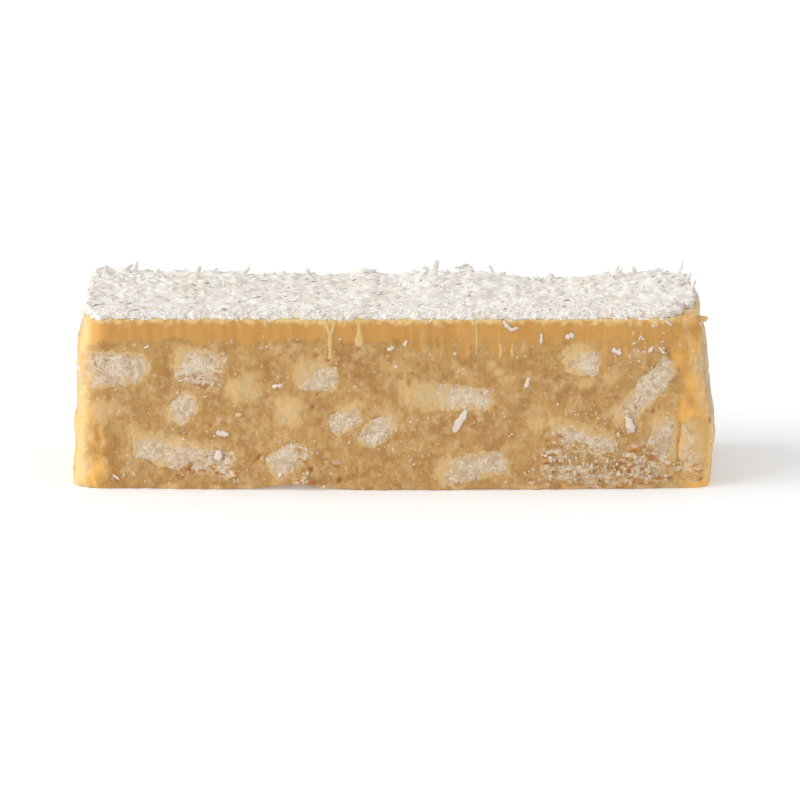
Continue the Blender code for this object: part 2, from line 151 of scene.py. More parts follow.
# Shreds of coconut stuck to the front: along, up, length, width, turn in degrees
STUCK_SHREDS = (
    (12.3, 13.2, 4.9, 1.7, 62), (-32.4, 10.8, 2.4, 1.3, -8), (-22, 19.9, 2.1, 1, 5),
    (24.8, 20.4, 2.1, 0.9, 70), (-33.2, 6.6, 2, 1.7, 78), (44.1, 12.5, 3.4, 1.8, -68),
    (27.4, 28.8, 2, 0.6, 88), (32.8, 29.2, 1.7, 1.2, 20), (41.6, 26.3, 1.9, 1.1, -30),
    (48, 26.7, 1.4, 0.7, 50), (50, 26.5, 1.5, 0.6, -50), (51.2, 31.7, 1.7, 0.6, -40),
    (-0.8, 26.9, 1.4, 0.8, 20), (2, 28, 1.2, 0.8, 60), (21, 31.3, 2.2, 0.9, -50),
    (22.3, 30.6, 1.7, 0.9, 20), (-52.5, 2.3, 1.5, 0.7, -40), (-13.4, 0.6, 0.9, 0.8, 30),
    (-21.6, 3, 1, 0.8, 60), (46, 28.9, 1, 0.5, 60), (-46.5, 27.2, 1, 0.6, 20),
)
# Shreds that stand on the coconut: along, y, length, width, turn as seen from the front
STANDING_SHREDS = (
    (-50.2, 19.4, 2.4, 1, 78), (-51.5, 19.4, 1.8, 1.3, 40), (7.9, 19.4, 2.2, 1.5, 84),
    (6, 19.4, 1.8, 1, 150), (12.6, 19.4, 2.6, 1.6, 20), (14, 19.4, 2.4, 1.5, 160),
    (18.4, 19.4, 1.6, 0.7, 110), (20.6, 19.4, 1.7, 0.7, 10), (42.8, 19.4, 2, 0.9, 65),
    (46.3, 19.4, 1.8, 1, 120), (55.2, 19.4, 2.6, 1.1, 74), (56.4, 14, 2.2, 1, 60),
    (-5.4, 19.4, 3.6, 1.2, 2), (-55.6, 16.6, 2, 1.1, 105), (-57.2, 12, 1.8, 1, 120),
    (58, 4, 2.2, 1, 75), (-29, 19.4, 2, 1.2, 30), (-38, 19.4, 1.6, 1.1, 70), (30, 19.4, 1.8, 1.2, 130),
    (-17, 19.4, 1.8, 1.1, 100),
)
# Shreds that stand out of the left end: x, y, z of the middle, length, width, turn as seen from the front
END_SHREDS = (
    (-58.4, -14, 32.6, 2.4, 0.9, 4), (-58.4, -17, 28.2, 1.3, 0.7, 100),
    (-59.3, -17.5, 22.6, 1.3, 0.6, 115),
)
# Kinds of shred on the coconut: name, count, length, width, thickness, tilt in degrees, lift, seed
SHREDS = (
    ("coconut_grains", 600, (0.9, 2.1), (0.5, 1), 0.12, 3, (-0.07, 0), 21),
    ("coconut_shreds", 260, (1.4, 2.8), (0.4, 0.9), 0.14, 5, (-0.03, 0.06), 22),
    ("raised_shreds", 150, (1, 2.4), (0.5, 1.1), 0.22, 16, (-0.05, 0.15), 24),
)
RIM_SHREDS = 1500
# Lumps of caramel that stand out: x, y, z of the middle, and length, depth, height
CARAMEL_LUMPS = (
    (57.5, -8.6, 30.3, 3, 1.5, 1.2), (-57.5, 1.5, 31.6, 1.6, 4, 3), (59.2, -16, 9.3, 1.3, 3.6, 6.8),
)
# Specks of coconut and sugar on the front: along, up, half length, half height, count
SPECKS = (
    (-40, 10.4, 4.6, 1, 22), (46, 26.4, 6, 2.2, 70), (47, 30, 4.5, 1.6, 26), (-33.8, 28.2, 2, 1, 8),
    (38.5, 13.5, 8.5, 3.8, 70), (31, 5.8, 5, 2.6, 30), (-34.5, 19.2, 4.6, 2.4, 12),
    (-24.4, 17.3, 2.6, 3, 14), (-18, 27.8, 7.5, 2.8, 14), (16, 13.5, 11, 4.8, 30),
    (-51.5, 4, 4.7, 2.3, 14), (6.5, 5.8, 9.4, 3.8, 20), (-8.5, 9.7, 11, 4.8, 22), (8, 24, 9, 3, 16),
    (0, 16, 60, 13, 50),
)
# Crumbs of biscuit on the front: along, up, half length, half height, count
CRUMBS = (
    (42, 3.6, 12, 3.4, 230), (30, 5, 3, 3.4, 34), (-29.6, 2.4, 2.4, 1.6, 8), (-15, 2.4, 2.8, 1.6, 10),
    (20, 2.4, 7, 1.6, 14), (44.5, 13, 3, 3, 12), (53.6, 7, 1.2, 4, 10), (-31, 24, 3, 3, 8),
    (0, 1.2, 60, 0.8, 36), (0, 14, 60, 14, 40),
)
# How the coconut is heaped along the back edge: along, and how much higher
HEAPS = (
    (-57, 0.5), (-50, 0.4), (-44, 0.1), (-38, 0.3), (-30, 0), (-24, -0.3), (-16, -0.4), (-10, -0.4),
    (-6, 0.2), (0, -0.2), (4, 0.4), (8, 0.9), (12, 0.6), (16, 1), (20, 0.5), (26, -0.1), (32, -0.4),
    (36, -0.1), (42, 0.6), (50, 0.6), (57, 0.3),
)
# The mat of coconut: its thickness, how it sinks and sits back, its round rim, and its rows of points
MAT = 1.35 * MM
MAT_SUNK = 0.12 * MM
MAT_INSET = 0.2 * MM
MAT_EDGE = 0.9 * MM
MAT_ROWS = 6
TOP_RINGS = 66

# The room: a floor and a tent that both glow, and a lamp that is a broad sun
FLOOR_SIZE = 6
FLOOR_ROUGHNESS = 0.7
FLOOR_GLOW = 0.23
TENT_STRENGTH = 0.65
LAMP_STRENGTH = 1.95
LAMP_SPREAD = 60
LAMP_FROM = Vector((-1, -0.25, 0.62))
CAMERA_ELEVATION = 11.8
CAMERA_DISTANCE = 1.167
CAMERA_LENS = 280
CAMERA_TARGET = Vector((0.94, -21.5, 17.3)) * MM


def srgb(red, green, blue):
    """A colour named by its 8-bit values, as linear light."""
    shares = [value / 255 for value in (red, green, blue)]
    return tuple(s / 12.92 if s <= 0.04045 else ((s + 0.055) / 1.055) ** 2.4 for s in shares) + (1,)


CARAMEL = srgb(198, 153, 86)
CARAMEL_DEEP = srgb(176, 126, 60)
CARAMEL_CRUMB = srgb(209, 172, 116)
# Colour of the painted glow: light through the caramel at the ends, light painted over the shaded right
# end, and the tint of the grooves
CARAMEL_PAINTED_GLOW = srgb(254, 192, 88)
SPECK = srgb(236, 214, 174)
PIT_BROWN = srgb(188, 116, 38)
ICING = srgb(208, 154, 74)
ICING_DEEP = srgb(196, 138, 59)
ICING_PALE = srgb(223, 177, 101)
# Colour of the icing's pale lip, and of the painted highlight down the upright corners
LIP_AND_PAINTED_HIGHLIGHT = srgb(241, 210, 148)
HALO = srgb(217, 178, 116)
SOAKED_BISCUIT = srgb(216, 184, 132)
BISCUIT = srgb(230, 214, 190)
BISCUIT_TAN = srgb(204, 177, 143)
BISCUIT_DARK = srgb(184, 132, 78)
BISCUIT_HONEY = srgb(206, 160, 94)
BISCUIT_TOASTED = srgb(180, 114, 56)
COCONUT = srgb(244, 240, 234)
# Tan of some shreds and specks, and of the painted shade in the gaps of the coconut mat
COCONUT_TAN_AND_GAP_SHADE = srgb(212, 172, 128)
WHITE = (1, 1, 1, 1)
TABLE_WHITE = (0.84, 0.86, 0.88, 1)


def smooth(values):
    """0 below 0, 1 above 1, and an even S between them."""
    t = np.clip(values, 0.0, 1.0)
    return t * t * (3 - 2 * t)


def in_sizes(points, size, seed):
    """The points as a list, measured in sizes of this many millimetres, and moved on for each seed."""
    return (points / (size * MM) + seed * np.array((3.7, 5.3, 7.1))).reshape(-1, 3).tolist()


def noise_at(points, size, seed=0):
    """Smooth noise, mostly between -0.6 and 0.6, with features about size millimetres across."""
    found = [noise.noise(p) for p in in_sizes(points, size, seed)]
    return np.array(found).reshape(points.shape[:-1])


def cells_at(points, size, seed):
    """Distances to the nearest and second of scattered spots, size millimetres apart, in sizes."""
    found = [noise.voronoi(p)[0][:2] for p in in_sizes(points, size, seed)]
    return np.array(found).T.reshape(2, *points.shape[:-1])


def patches(points, size, seed, level, gain):
    """Patches with soft edges: 1 in them, 0 between. The level says how many, the gain how sharp."""
    return smooth(level + gain * noise_at(points, size, seed))


def clumps(points, size, seed):
    """The relief of soft lumps packed together: 1 on each, and 0 in the gaps between them."""
    bent = points + 0.25 * size * MM * noise_at(points, 0.6 * size, seed)[..., None]
    nearest, second = cells_at(bent, size, seed)
    return smooth((second - nearest) / 0.55)


def blur(values, rows, columns):
    """Gaussian blur of a grid whose columns go round the bar and whose rows end."""
    for axis, spread, mode in ((0, rows, "edge"), (1, columns, "wrap")):
        reach = math.ceil(3 * spread)
        weights = np.exp(-0.5 * (np.arange(-reach, reach + 1) / spread) ** 2)
        padding = [(0, 0), (0, 0)]
        padding[axis] = (reach, reach)
        padded = np.pad(values, padding, mode=mode)
        span = np.arange(values.shape[axis])
        values = sum(w * np.take(padded, span + k, axis=axis) for k, w in enumerate(weights))
        values = values / weights.sum()
    return values


# ---- The skin of the cut faces ----


def rim_path():
    """The bar's outline from above, with round corners, and the outward direction at each point of it.

    It runs down the left end, along the front, up the right end and along the back.
    """
    low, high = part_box("caramel_base")
    half_x, half_y = ((high[k] - low[k]) / 2 - EDGE_INSET for k in range(2))
    runs = (
        ((-half_x, half_y - CORNER), (0, -1), half_y, OTHER_STEP),
        ((CORNER - half_x, -half_y), (1, 0), half_x, FRONT_STEP),
        ((half_x, CORNER - half_y), (0, 1), half_y, OTHER_STEP),
        ((half_x - CORNER, half_y), (-1, 0), half_x, OTHER_STEP),
    )
    places, outs = [], []
    for start, along, half, step in runs:
        length = 2 * (half - CORNER)
        along = np.array(along)
        out = np.array((along[1], -along[0]))
        count = round(length / step)
        places += [start + along * length * k / count for k in range(count)]
        outs += [out] * count
        centre = start + along * length - out * CORNER
        for k in range(CORNER_COLUMNS):
            angle = math.pi / 2 * k / CORNER_COLUMNS
            outs.append(out * math.cos(angle) + along * math.sin(angle))
            places.append(centre + outs[-1] * CORNER)
    return np.array(places), np.array(outs)


RIM, RIM_OUT = rim_path()
OUT = np.column_stack((RIM_OUT, np.zeros(len(RIM))))


def tree_of(names):
    """A search tree of these nodes' faces, and which node each face is of."""
    points, faces, owners = [], [], []
    for name in names:
        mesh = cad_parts[name].data
        first = len(points)
        points += [vert.co.copy() for vert in mesh.vertices]
        faces += [[first + k for k in face.vertices] for face in mesh.polygons]
        owners += [name] * len(mesh.polygons)
    return BVHTree.FromPolygons(points, faces), owners


def cast(tree, start, direction):
    return tree.ray_cast(Vector(start), Vector(direction))


def edge_heights(tree, going_up):
    """The height at which the bar starts or ends in each column, at the outermost place that has it."""
    start, direction = (-CAST_FROM, UP) if going_up else (ABOVE_ALL, -UP)
    insets = np.arange(-1.2, 4.8, 0.3) * MM
    heights = np.full((len(insets), len(RIM)), np.nan)
    for row, column in np.ndindex(heights.shape):
        x, y = RIM[column] - RIM_OUT[column] * insets[row]
        hit = cast(tree, (x, y, start), direction)[0]
        if hit is not None:
            heights[row, column] = hit.z
    end = np.nanmedian(heights[-1])
    close = np.abs(heights - end) < 2 * MM
    first = np.argmax(close, axis=0)
    found = heights[np.minimum(first + 1, len(insets) - 1), np.arange(len(RIM))]
    found[~close.any(axis=0) | np.isnan(found)] = end
    return blur(found[None], 1, 2)[0]


class Skin:
    """A grid of points on the side of some nodes: rows going up, and a column for each point of RIM."""

    def __init__(self, names):
        tree, owners = tree_of(names)
        starts = np.column_stack((RIM, np.zeros(len(RIM)))) + OUT * CAST_FROM
        self.low, self.high = edge_heights(tree, True), edge_heights(tree, False)
        rows = round(float(np.max(self.high - self.low)) / ROW_STEP)
        share = (np.arange(rows + 1) / rows)[:, None]
        cast_z = self.low + EDGE_GAP + share * (self.high - self.low - 2 * EDGE_GAP)
        distance = np.full(cast_z.shape, np.nan)
        self.owner = np.full(cast_z.shape, "", dtype=object)
        for row, column in np.ndindex(cast_z.shape):
            start = starts[column] + UP * cast_z[row, column]
            _, _, face, gone = cast(tree, start, -OUT[column])
            if face is not None:
                distance[row, column] = gone
                self.owner[row, column] = owners[face]
        filled = np.where(np.isnan(distance), np.nanmedian(distance), distance)
        # Flakes fused to the side stand out of it, and pockets of biscuit lie behind it: both are left out
        wide, close = range(-18, 19, 3), range(-4, 5)
        typical = np.median([np.roll(filled, k, axis=1) for k in wide], axis=0)
        filled = np.where(typical - filled > STANDS_OUT, typical, filled)
        nearest = np.min([np.roll(filled, k, axis=1) for k in close], axis=0)
        nearest = np.min([nearest[np.clip(np.arange(rows + 1) + k, 0, rows)] for k in close], axis=0)
        on_skin = ~np.isnan(distance) & (filled - nearest < POCKET_DEPTH)
        self.owner[~on_skin] = ""
        spread = SMOOTHING / ROW_STEP
        weight = blur(on_skin.astype(float), spread, spread)
        distance = blur(np.where(on_skin, filled, 0.0), spread, spread) / np.maximum(weight, 1e-6)
        self.points = starts[None] - OUT[None] * distance[..., None]
        self.height = self.low + share * (self.high - self.low)
        self.points[..., 2] = self.height


def inset_of(grid, inside):
    """How far each point of a grid lies within the marked part of it, in metres: below 0 outside it."""
    around = ((0, 1), (0, -1), (1, 1), (1, -1))
    neighbours = sum(np.roll(inside, step, axis=axis).astype(int) for axis, step in around)
    inner_edge = grid[inside & (neighbours < 4)]
    outer_edge = grid[~inside & (neighbours > 0)]
    result = np.empty(inside.shape)
    for chosen, edge, sign in ((inside, outer_edge, 1), (~inside, inner_edge, -1)):
        gaps = np.array([np.linalg.norm(edge - p, axis=1).min() for p in grid[chosen]])
        result[chosen] = sign * (gaps - FRONT_STEP / 2)
    return result


def sample(grid, rows, columns):
    """Values of a grid at fractional rows and columns."""
    r = np.clip(np.floor(rows).astype(int), 0, grid.shape[0] - 2)
    c = np.clip(np.floor(columns).astype(int), 0, grid.shape[1] - 2)
    shape = rows.shape + (1,) * (grid.ndim - 2)
    fr, fc = (rows - r).reshape(shape), (columns - c).reshape(shape)
    top = grid[r, c] * (1 - fc) + grid[r, c + 1] * fc
    bottom = grid[r + 1, c] * (1 - fc) + grid[r + 1, c + 1] * fc
    return top * (1 - fr) + bottom * fr


def along_of(points):
    return points[..., 0] / MM


def up_of(points):
    return points[..., 2] / MM


def bell(points, along, up, half_length, half_height):
    """1 at a place on the front, fading to 0 around it."""
    reach = ((along_of(points) - along) / half_length) ** 2 + ((up_of(points) - up) / half_height) ** 2
    return np.exp(-reach) * (points[..., 1] < 0)


# ---- Meshes ----


def new_piece(name, points, faces, finish, values, smooth_faces=True):
    """A piece of these faces, with named numbers for each point that its material reads."""
    mesh = bpy.data.meshes.new(name)
    mesh.from_pydata(points.reshape(-1, 3).tolist(), [], faces)
    for key, numbers in values.items():
        numbers = np.ravel(numbers).astype(np.float32)
        mesh.attributes.new(key, "FLOAT", "POINT").data.foreach_set("value", numbers)
    if smooth_faces:
        mesh.shade_smooth()
    mesh.materials.append(finish)
    piece = bpy.data.objects.new(name, mesh)
    bpy.context.scene.collection.objects.link(piece)
    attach(piece, "root")
    return piece


def tube_faces(rows, columns):
    """Faces of a closed tube whose rows go round: its wall, and one face at each end."""
    index = np.arange(rows * columns).reshape(rows, columns)
    right = np.roll(index, -1, axis=1)
    wall = np.stack((index[:-1], right[:-1], right[1:], index[1:]), axis=-1).reshape(-1, 4)
    return wall.tolist() + [index[0, ::-1].tolist(), index[-1].tolist()]


def repeated(faces, size, count):
    """The same faces for each of several lumps in one mesh, each of this many points."""
    return [[lump * size + k for k in face] for lump in range(count) for face in faces]


def ring(points, inset, height):
    """A row of a tube, moved in from the side and set at a height, or at one for each column."""
    moved = points - OUT * inset
    moved[:, 2] = height
    return moved[None]


# ---- Materials ----


class Finish:
    """A material, with short ways to add and link its nodes. Sizes are in millimetres."""

    def __init__(self, name):
        self.material = bpy.data.materials.new(name)
        self.material.use_nodes = True
        self.tree = self.material.node_tree
        self.shader = self.tree.nodes["Principled BSDF"]
        self.place = self.node("TexCoord", {}, "Object")

    def node(self, kind, values, output=0, **settings):
        """Adds a node, sets its inputs, and gives one of its outputs."""
        node = self.tree.nodes.new("ShaderNode" + kind)
        for key, value in settings.items():
            setattr(node, key, value)
        for key, value in values.items():
            self.put(node.inputs[key], value)
        return node.outputs[output]

    def put(self, socket, value):
        """Links a socket to another node's output, or sets it to a plain value, if there is one."""
        if isinstance(value, bpy.types.NodeSocket):
            self.tree.links.new(value, socket)
        elif value is not None:
            socket.default_value = value

    def number(self, name):
        """What the piece's mesh says of each point under this name."""
        return self.node("Attribute", {}, "Fac", attribute_name=name)

    def math(self, operation, *values):
        return self.node("Math", dict(enumerate(values)), operation=operation)

    def times(self, first, second):
        return self.math("MULTIPLY", first, second)

    def without(self, share):
        """What is left of 1."""
        return self.math("SUBTRACT", 1.0, share)

    def span(self, value, low, high, to_low=0.0, to_high=1.0):
        """The value, with low to high stretched to run from to_low to to_high, and held there."""
        return self.node("MapRange", dict(enumerate((value, low, high, to_low, to_high))))

    def mix(self, share, first, second):
        return self.node("Mix", {0: share, 6: first, 7: second}, 2, data_type="RGBA")

    def stretched(self, x, y, z):
        """The place on the piece, shrunk along each axis so that noise is drawn out along it."""
        return self.node("Mapping", {"Vector": self.place, "Scale": (x, y, z)})

    def noise(self, size, detail=2.0, place=None):
        """Noise from 0 to 1 with features about size across."""
        inputs = {"Vector": place or self.place, "Scale": 1 / (size * MM), "Detail": detail}
        return self.node("TexNoise", inputs)

    def patches(self, size, low, high, most=1.0, detail=2.0, place=None):
        """Patches with soft edges, where noise runs from low to high: most in them, 0 between."""
        return self.span(self.noise(size, detail, place), low, high, 0.0, most)

    def cells(self, size, feature="F1"):
        """Distance to the nearest of scattered spots about size apart, in sizes."""
        inputs = {"Vector": self.place, "Scale": 1 / (size * MM)}
        return self.node("TexVoronoi", inputs, feature=feature)

    def dots(self, apart, edge, ragged, ragged_size, where):
        """Small uneven dots, in some places."""
        uneven = self.span(self.noise(ragged_size), 0.3, 0.7, -ragged, ragged)
        return self.times(self.span(self.math("ADD", self.cells(apart), uneven), *edge), where)

    def bump(self, height, depth, below=None):
        """A bump of this depth, on top of another."""
        return self.node("Bump", {"Height": height, "Distance": depth * MM, "Normal": below})

    def surface(self, colour, roughness, normal=None, glow=0.0, reach=0.0):
        """Sets the shader. glow is how much of the light goes through the surface, and reach how far."""
        values = {
            "Base Color": colour,
            "Roughness": roughness,
            "Normal": normal,
            "Subsurface Weight": glow,
            "Subsurface Scale": reach * MM,
            "Subsurface Radius": (1.0, 0.62, 0.3),
        }
        for key, value in values.items():
            self.put(self.shader.inputs[key], value)
        return self.material


def matrix_colour(f):
    """The caramel that holds the biscuit: mottled, with soft pale lumps and clear darker places."""
    colour = f.mix(f.patches(4.5, 0.32, 0.58, 1.0, 3), CARAMEL_DEEP, CARAMEL)
    lumps = f.times(f.span(f.cells(1.7, "SMOOTH_F1"), 0.6, 0.3), f.patches(2.4, 0.44, 0.56, 0.9))
    colour = f.mix(lumps, colour, CARAMEL_CRUMB)
    swirls = f.math("ABSOLUTE", f.math("SUBTRACT", f.noise(3.2), 0.5))
    swirls = f.times(f.span(swirls, 0.03, 0.005), f.patches(2.8, 0.46, 0.6, 0.6))
    colour = f.mix(swirls, colour, CARAMEL_CRUMB)
    colour = f.mix(f.patches(0.9, 0.52, 0.7, 0.6, 3), colour, CARAMEL_DEEP)
    colour = f.mix(f.patches(0.5, 0.56, 0.7, 0.6, 3), colour, CARAMEL_CRUMB)
    grains = f.dots(1.2, (0.22, 0.12), 0.12, 0.3, f.patches(3.0, 0.5, 0.58, 0.65))
    colour = f.mix(grains, colour, SPECK)
    spots = f.dots(1.9, (0.22, 0.1), 0.1, 0.4, f.patches(5.0, 0.44, 0.56, 0.75))
    return f.mix(spots, colour, PIT_BROWN)


def icing_colour(f):
    """Smooth icing, streaked upright by the knife."""
    pale = f.patches(0.9, 0.52, 0.78, 0.6, place=f.stretched(1, 1, 0.06))
    deep = f.patches(2.4, 0.52, 0.32, 0.6, place=f.stretched(1, 1, 0.25))
    return f.mix(deep, f.mix(pale, ICING, ICING_PALE), ICING_DEEP)


def crumbled_colour(f):
    """Crumbs of biscuit with browned and sticky places between them."""
    grains = f.noise(1.1, 4, f.stretched(0.6, 0.6, 1.3))
    colour = f.mix(f.span(grains, 0.37, 0.45), BISCUIT_TOASTED, BISCUIT_HONEY)
    return f.mix(f.span(grains, 0.5, 0.56), colour, BISCUIT)


def caramel_finish(name, glow=0.45, reach=0.6):
    f = Finish(name)
    icing, painted_glow_and_groove_tint, pale, crumbled = map(f.number, ("icing", "painted_glow_and_groove_tint", "pale", "crumbled"))
    colour = f.mix(icing, matrix_colour(f), icing_colour(f))
    # Painted glow: light through the caramel toward the ends and light over the shaded right end; also a
    # golden tint in the grooves
    colour = f.mix(painted_glow_and_groove_tint, colour, CARAMEL_PAINTED_GLOW)
    colour = f.mix(f.span(pale, 0, 0.7), colour, HALO)
    colour = f.mix(f.span(pale, 0.5, 1.0), colour, SOAKED_BISCUIT)
    # Painted light: the glow at the ends also warms the pale places there
    colour = f.mix(f.times(f.times(pale, painted_glow_and_groove_tint), 0.4), colour, CARAMEL_PAINTED_GLOW)
    colour = f.mix(crumbled, colour, crumbled_colour(f))
    # The icing's pale lip, and the painted highlight down the upright corners
    colour = f.mix(f.number("lip_and_painted_highlight"), colour, LIP_AND_PAINTED_HIGHLIGHT)
    colour = f.mix(f.number("pit"), colour, PIT_BROWN)
    normal = f.bump(f.times(f.noise(0.5, 3), f.without(f.times(icing, 0.75))), 0.2)
    normal = f.bump(f.times(f.noise(0.9, 3), crumbled), 0.5, normal)
    normal = f.bump(f.noise(0.9, 2, f.stretched(1, 1, 0.06)), 0.08, normal)
    return f.surface(colour, f.span(f.noise(1.5), 0.35, 0.65, 0.22, 0.45), normal, glow, reach)


def biscuit_finish():
    f = Finish("biscuit")
    wet, toast = f.number("wet"), f.number("toast")
    dry = f.mix(f.patches(1.3, 0.4, 0.66), BISCUIT, BISCUIT_TAN)
    dry = f.mix(f.patches(0.3, 0.48, 0.66, 0.9, 3), dry, BISCUIT_TAN)
    spots = f.dots(0.5, (0.26, 0.14), 0.12, 0.2, f.span(f.noise(1.2), 0.44, 0.56, 0.15, 0.9))
    dry = f.mix(f.math("MAXIMUM", spots, f.number("pore")), dry, BISCUIT_DARK)
    dry = f.mix(toast, dry, crumbled_colour(f))
    dry = f.mix(f.times(f.patches(0.45, 0.54, 0.62, 0.7, 3), toast), dry, BISCUIT_TOASTED)
    colour = f.mix(wet, dry, SOAKED_BISCUIT)
    colour = f.mix(f.times(f.number("edge"), 0.75), colour, HALO)
    # Painted glow toward the bar's ends, as on the caramel
    colour = f.mix(f.times(f.number("painted_glow_and_groove_tint"), 0.3), colour, CARAMEL_PAINTED_GLOW)
    crumb = f.math("SUBTRACT", f.noise(0.3, 3), f.times(f.cells(0.45), 0.6))
    normal = f.bump(f.times(crumb, f.without(f.times(wet, 0.8))), 0.13)
    normal = f.bump(f.times(f.noise(0.9, 3), toast), 0.5, normal)
    return f.surface(colour, 0.7, normal, 0.3, 0.7)


def coconut_finish():
    f = Finish("coconut")
    # Tan tones of some shreds, and painted shade in the gaps of the mat
    colour = f.mix(f.number("tone_and_painted_gap_shade"), COCONUT, COCONUT_TAN_AND_GAP_SHADE)
    normal = f.bump(f.noise(0.35, 3), 0.07)
    return f.surface(colour, 0.8, f.bump(f.cells(0.7), 0.05, normal))


CARAMEL_FINISH = caramel_finish("caramel")
ICING_FINISH = caramel_finish("caramel_icing")
DRIP_FINISH = caramel_finish("caramel_drips", 0.15, 0.3)
BISCUIT_FINISH = biscuit_finish()
COCONUT_FINISH = coconut_finish()


# ---- The cut faces: caramel, icing and biscuit ----


def offset_share(points, inside, direction):
    """How far each point lies from the marked part's middle in this direction: 1 at its edge."""
    centre = points[inside].mean(axis=0)
    column = np.argmin(np.linalg.norm(RIM - centre[:2], axis=1))
    along = np.cross(UP, OUT[column])
    angle = math.radians(direction)
    offset = (points - centre) @ (along * math.cos(angle) + UP * math.sin(angle))
    return offset / np.abs(offset[inside]).max()


def soaked_share(name, points, inside):
    """How soaked a piece of biscuit is at each point: 0 dry, 1 full of caramel."""
    some_direction = sum(map(ord, name)) * 77 % 360
    direction, share = SOAKED.get(name.removeprefix(FRONT_PIECE), (some_direction, 0.2))
    wobble = 0.5 * noise_at(points, 1.6, 9) + 0.3 * noise_at(points, 0.8, 11)
    return smooth((offset_share(points, inside, direction) + wobble - (1 - 2 * share)) / 0.5 + 0.5)


def toasted_share(name, points, inside, inset):
    """How brown a piece of biscuit is at each point: its baked outside, along one edge."""
    direction = TOASTED.get(name.removeprefix(FRONT_PIECE))
    if direction is None:
        return np.zeros(points.shape[:-1])
    rim = smooth(2.5 - inset / (0.9 * MM))
    side = smooth((offset_share(points, inside, direction) + 0.1) / 0.4)
    return rim * side * patches(points, 0.7, 12, 0.9, 2.4)


def window_of(inside):
    """The rows and columns round the marked part of the grid, with room for its halo."""
    return tuple(slice(max(0, k.min() - HALO_ROOM), k.max() + HALO_ROOM + 1) for k in np.nonzero(inside))


def biscuit_relief(points, wet, inset):
    """The crumb of a snapped biscuit: how far each point stands out, and how much of a pore it is in."""
    bent = points + 0.35 * MM * noise_at(points, 0.5, 13)[..., None]
    nearest, _ = cells_at(bent, 0.8, 3)
    holes = 0.8 * smooth((0.28 - nearest) / 0.2) * patches(points, 1.8, 5, 0.3, 2.4)
    layers = noise_at(points * np.array((0.32, 0.32, 1.0)), 0.7, 7)
    cracks = smooth(1 - np.abs(layers) / 0.08) * patches(points, 2, 8, 0, 3)
    crisp = smooth(1.3 - inset / (0.7 * MM)) * patches(points, 0.45, 14, 0, 3)
    pore = np.maximum(np.maximum(holes, 0.8 * cracks), 0.6 * crisp) * (1 - wet)
    dry_out = 0.07 * noise_at(points, 1.1, 2) + 0.09 * noise_at(points, 0.45, 4) - 0.15 * pore + 0.03
    out = dry_out * MM * (1 - wet) + (body_relief(points) + 0.05 * MM) * wet
    slope = 0.75 - 0.5 * wet
    return out - slope * np.maximum(0.0, MEETING - inset), pore


def add_biscuit(name, skin, window, *shares):
    """A piece of biscuit: its fine cut surface, sides that run in, and its inner end.

    shares are how far in each point of the window is, how wet and toasted, and its painted glow.
    """
    grid = skin.points[window]
    step = FRONT_BISCUIT_STEP if FRONT_PIECE in name else OTHER_BISCUIT_STEP
    height = grid[-1, 0, 2] - grid[0, 0, 2]
    length = np.linalg.norm(np.diff(grid[0, :, :2], axis=0), axis=1).sum()
    counts = round(height / step), round(length / step)
    lines = [np.linspace(0, size - 1, count) for size, count in zip(grid.shape, counts)]
    rows, columns = np.meshgrid(*lines, indexing="ij")
    points = sample(grid, rows, columns)
    outward = sample(np.broadcast_to(OUT[window[1]], grid.shape), rows, columns)
    inset, wet, toast, painted_glow_and_groove_tint = (sample(values, rows, columns) for values in shares)
    edge = smooth(0.6 - inset / (0.8 * MM) + 2.2 * noise_at(points, 1.8, 6))
    edge = np.maximum(edge * 0.8, wet) * smooth(1.4 - inset / (0.9 * MM))
    wet = np.maximum(wet, edge * (1 - toast) * 0.9)
    out, pore = biscuit_relief(points, wet, inset)
    points = points + outward * out[..., None]
    index = np.arange(rows.size).reshape(rows.shape)
    quads = np.stack((index[:-1, :-1], index[:-1, 1:], index[1:, 1:], index[1:, :-1]), axis=-1)
    kept = quads[(inset.ravel()[quads] > -BURIED).all(axis=-1)]
    used, renumbered = np.unique(kept, return_inverse=True)
    values = {"wet": wet, "edge": edge, "pore": pore, "toast": toast, "painted_glow_and_groove_tint": painted_glow_and_groove_tint}
    values = {key: numbers.ravel()[used] for key, numbers in values.items()}
    faces = renumbered.reshape(-1, 4).tolist()
    piece = new_piece(name + "_crumb", points.reshape(-1, 3)[used], faces, BISCUIT_FINISH, values)
    close_inward(piece.data, name, outward.mean(axis=(0, 1)))
    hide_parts(name)


def close_inward(mesh, name, outward):
    """Runs the rim of a cut surface in to the depth of its solid and closes it there."""
    outward = Vector(outward).normalized()
    depth = min(vert.co.dot(outward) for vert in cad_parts[name].data.vertices)
    bm = bmesh.new()
    bm.from_mesh(mesh)
    middle = sum((vert.co for vert in bm.verts), Vector()) / len(bm.verts)
    rim = [edge for edge in bm.edges if edge.is_boundary]
    for share in (0.35, 1.0):
        made = bmesh.ops.extrude_edge_only(bm, edges=rim)["geom"]
        rim = [item for item in made if isinstance(item, bmesh.types.BMEdge) and item.is_boundary]
        for vert in {vert for edge in rim for vert in edge.verts}:
            across = vert.co - middle
            across -= outward * across.dot(outward)
            vert.co -= across * (1 - INNER_SHARE) * share
            vert.co += outward * (depth - vert.co.dot(outward)) * share
    bmesh.ops.holes_fill(bm, edges=rim, sides=0)
    bmesh.ops.recalc_face_normals(bm, faces=bm.faces)
    bm.to_mesh(mesh)
    bm.free()
    mesh.shade_smooth()


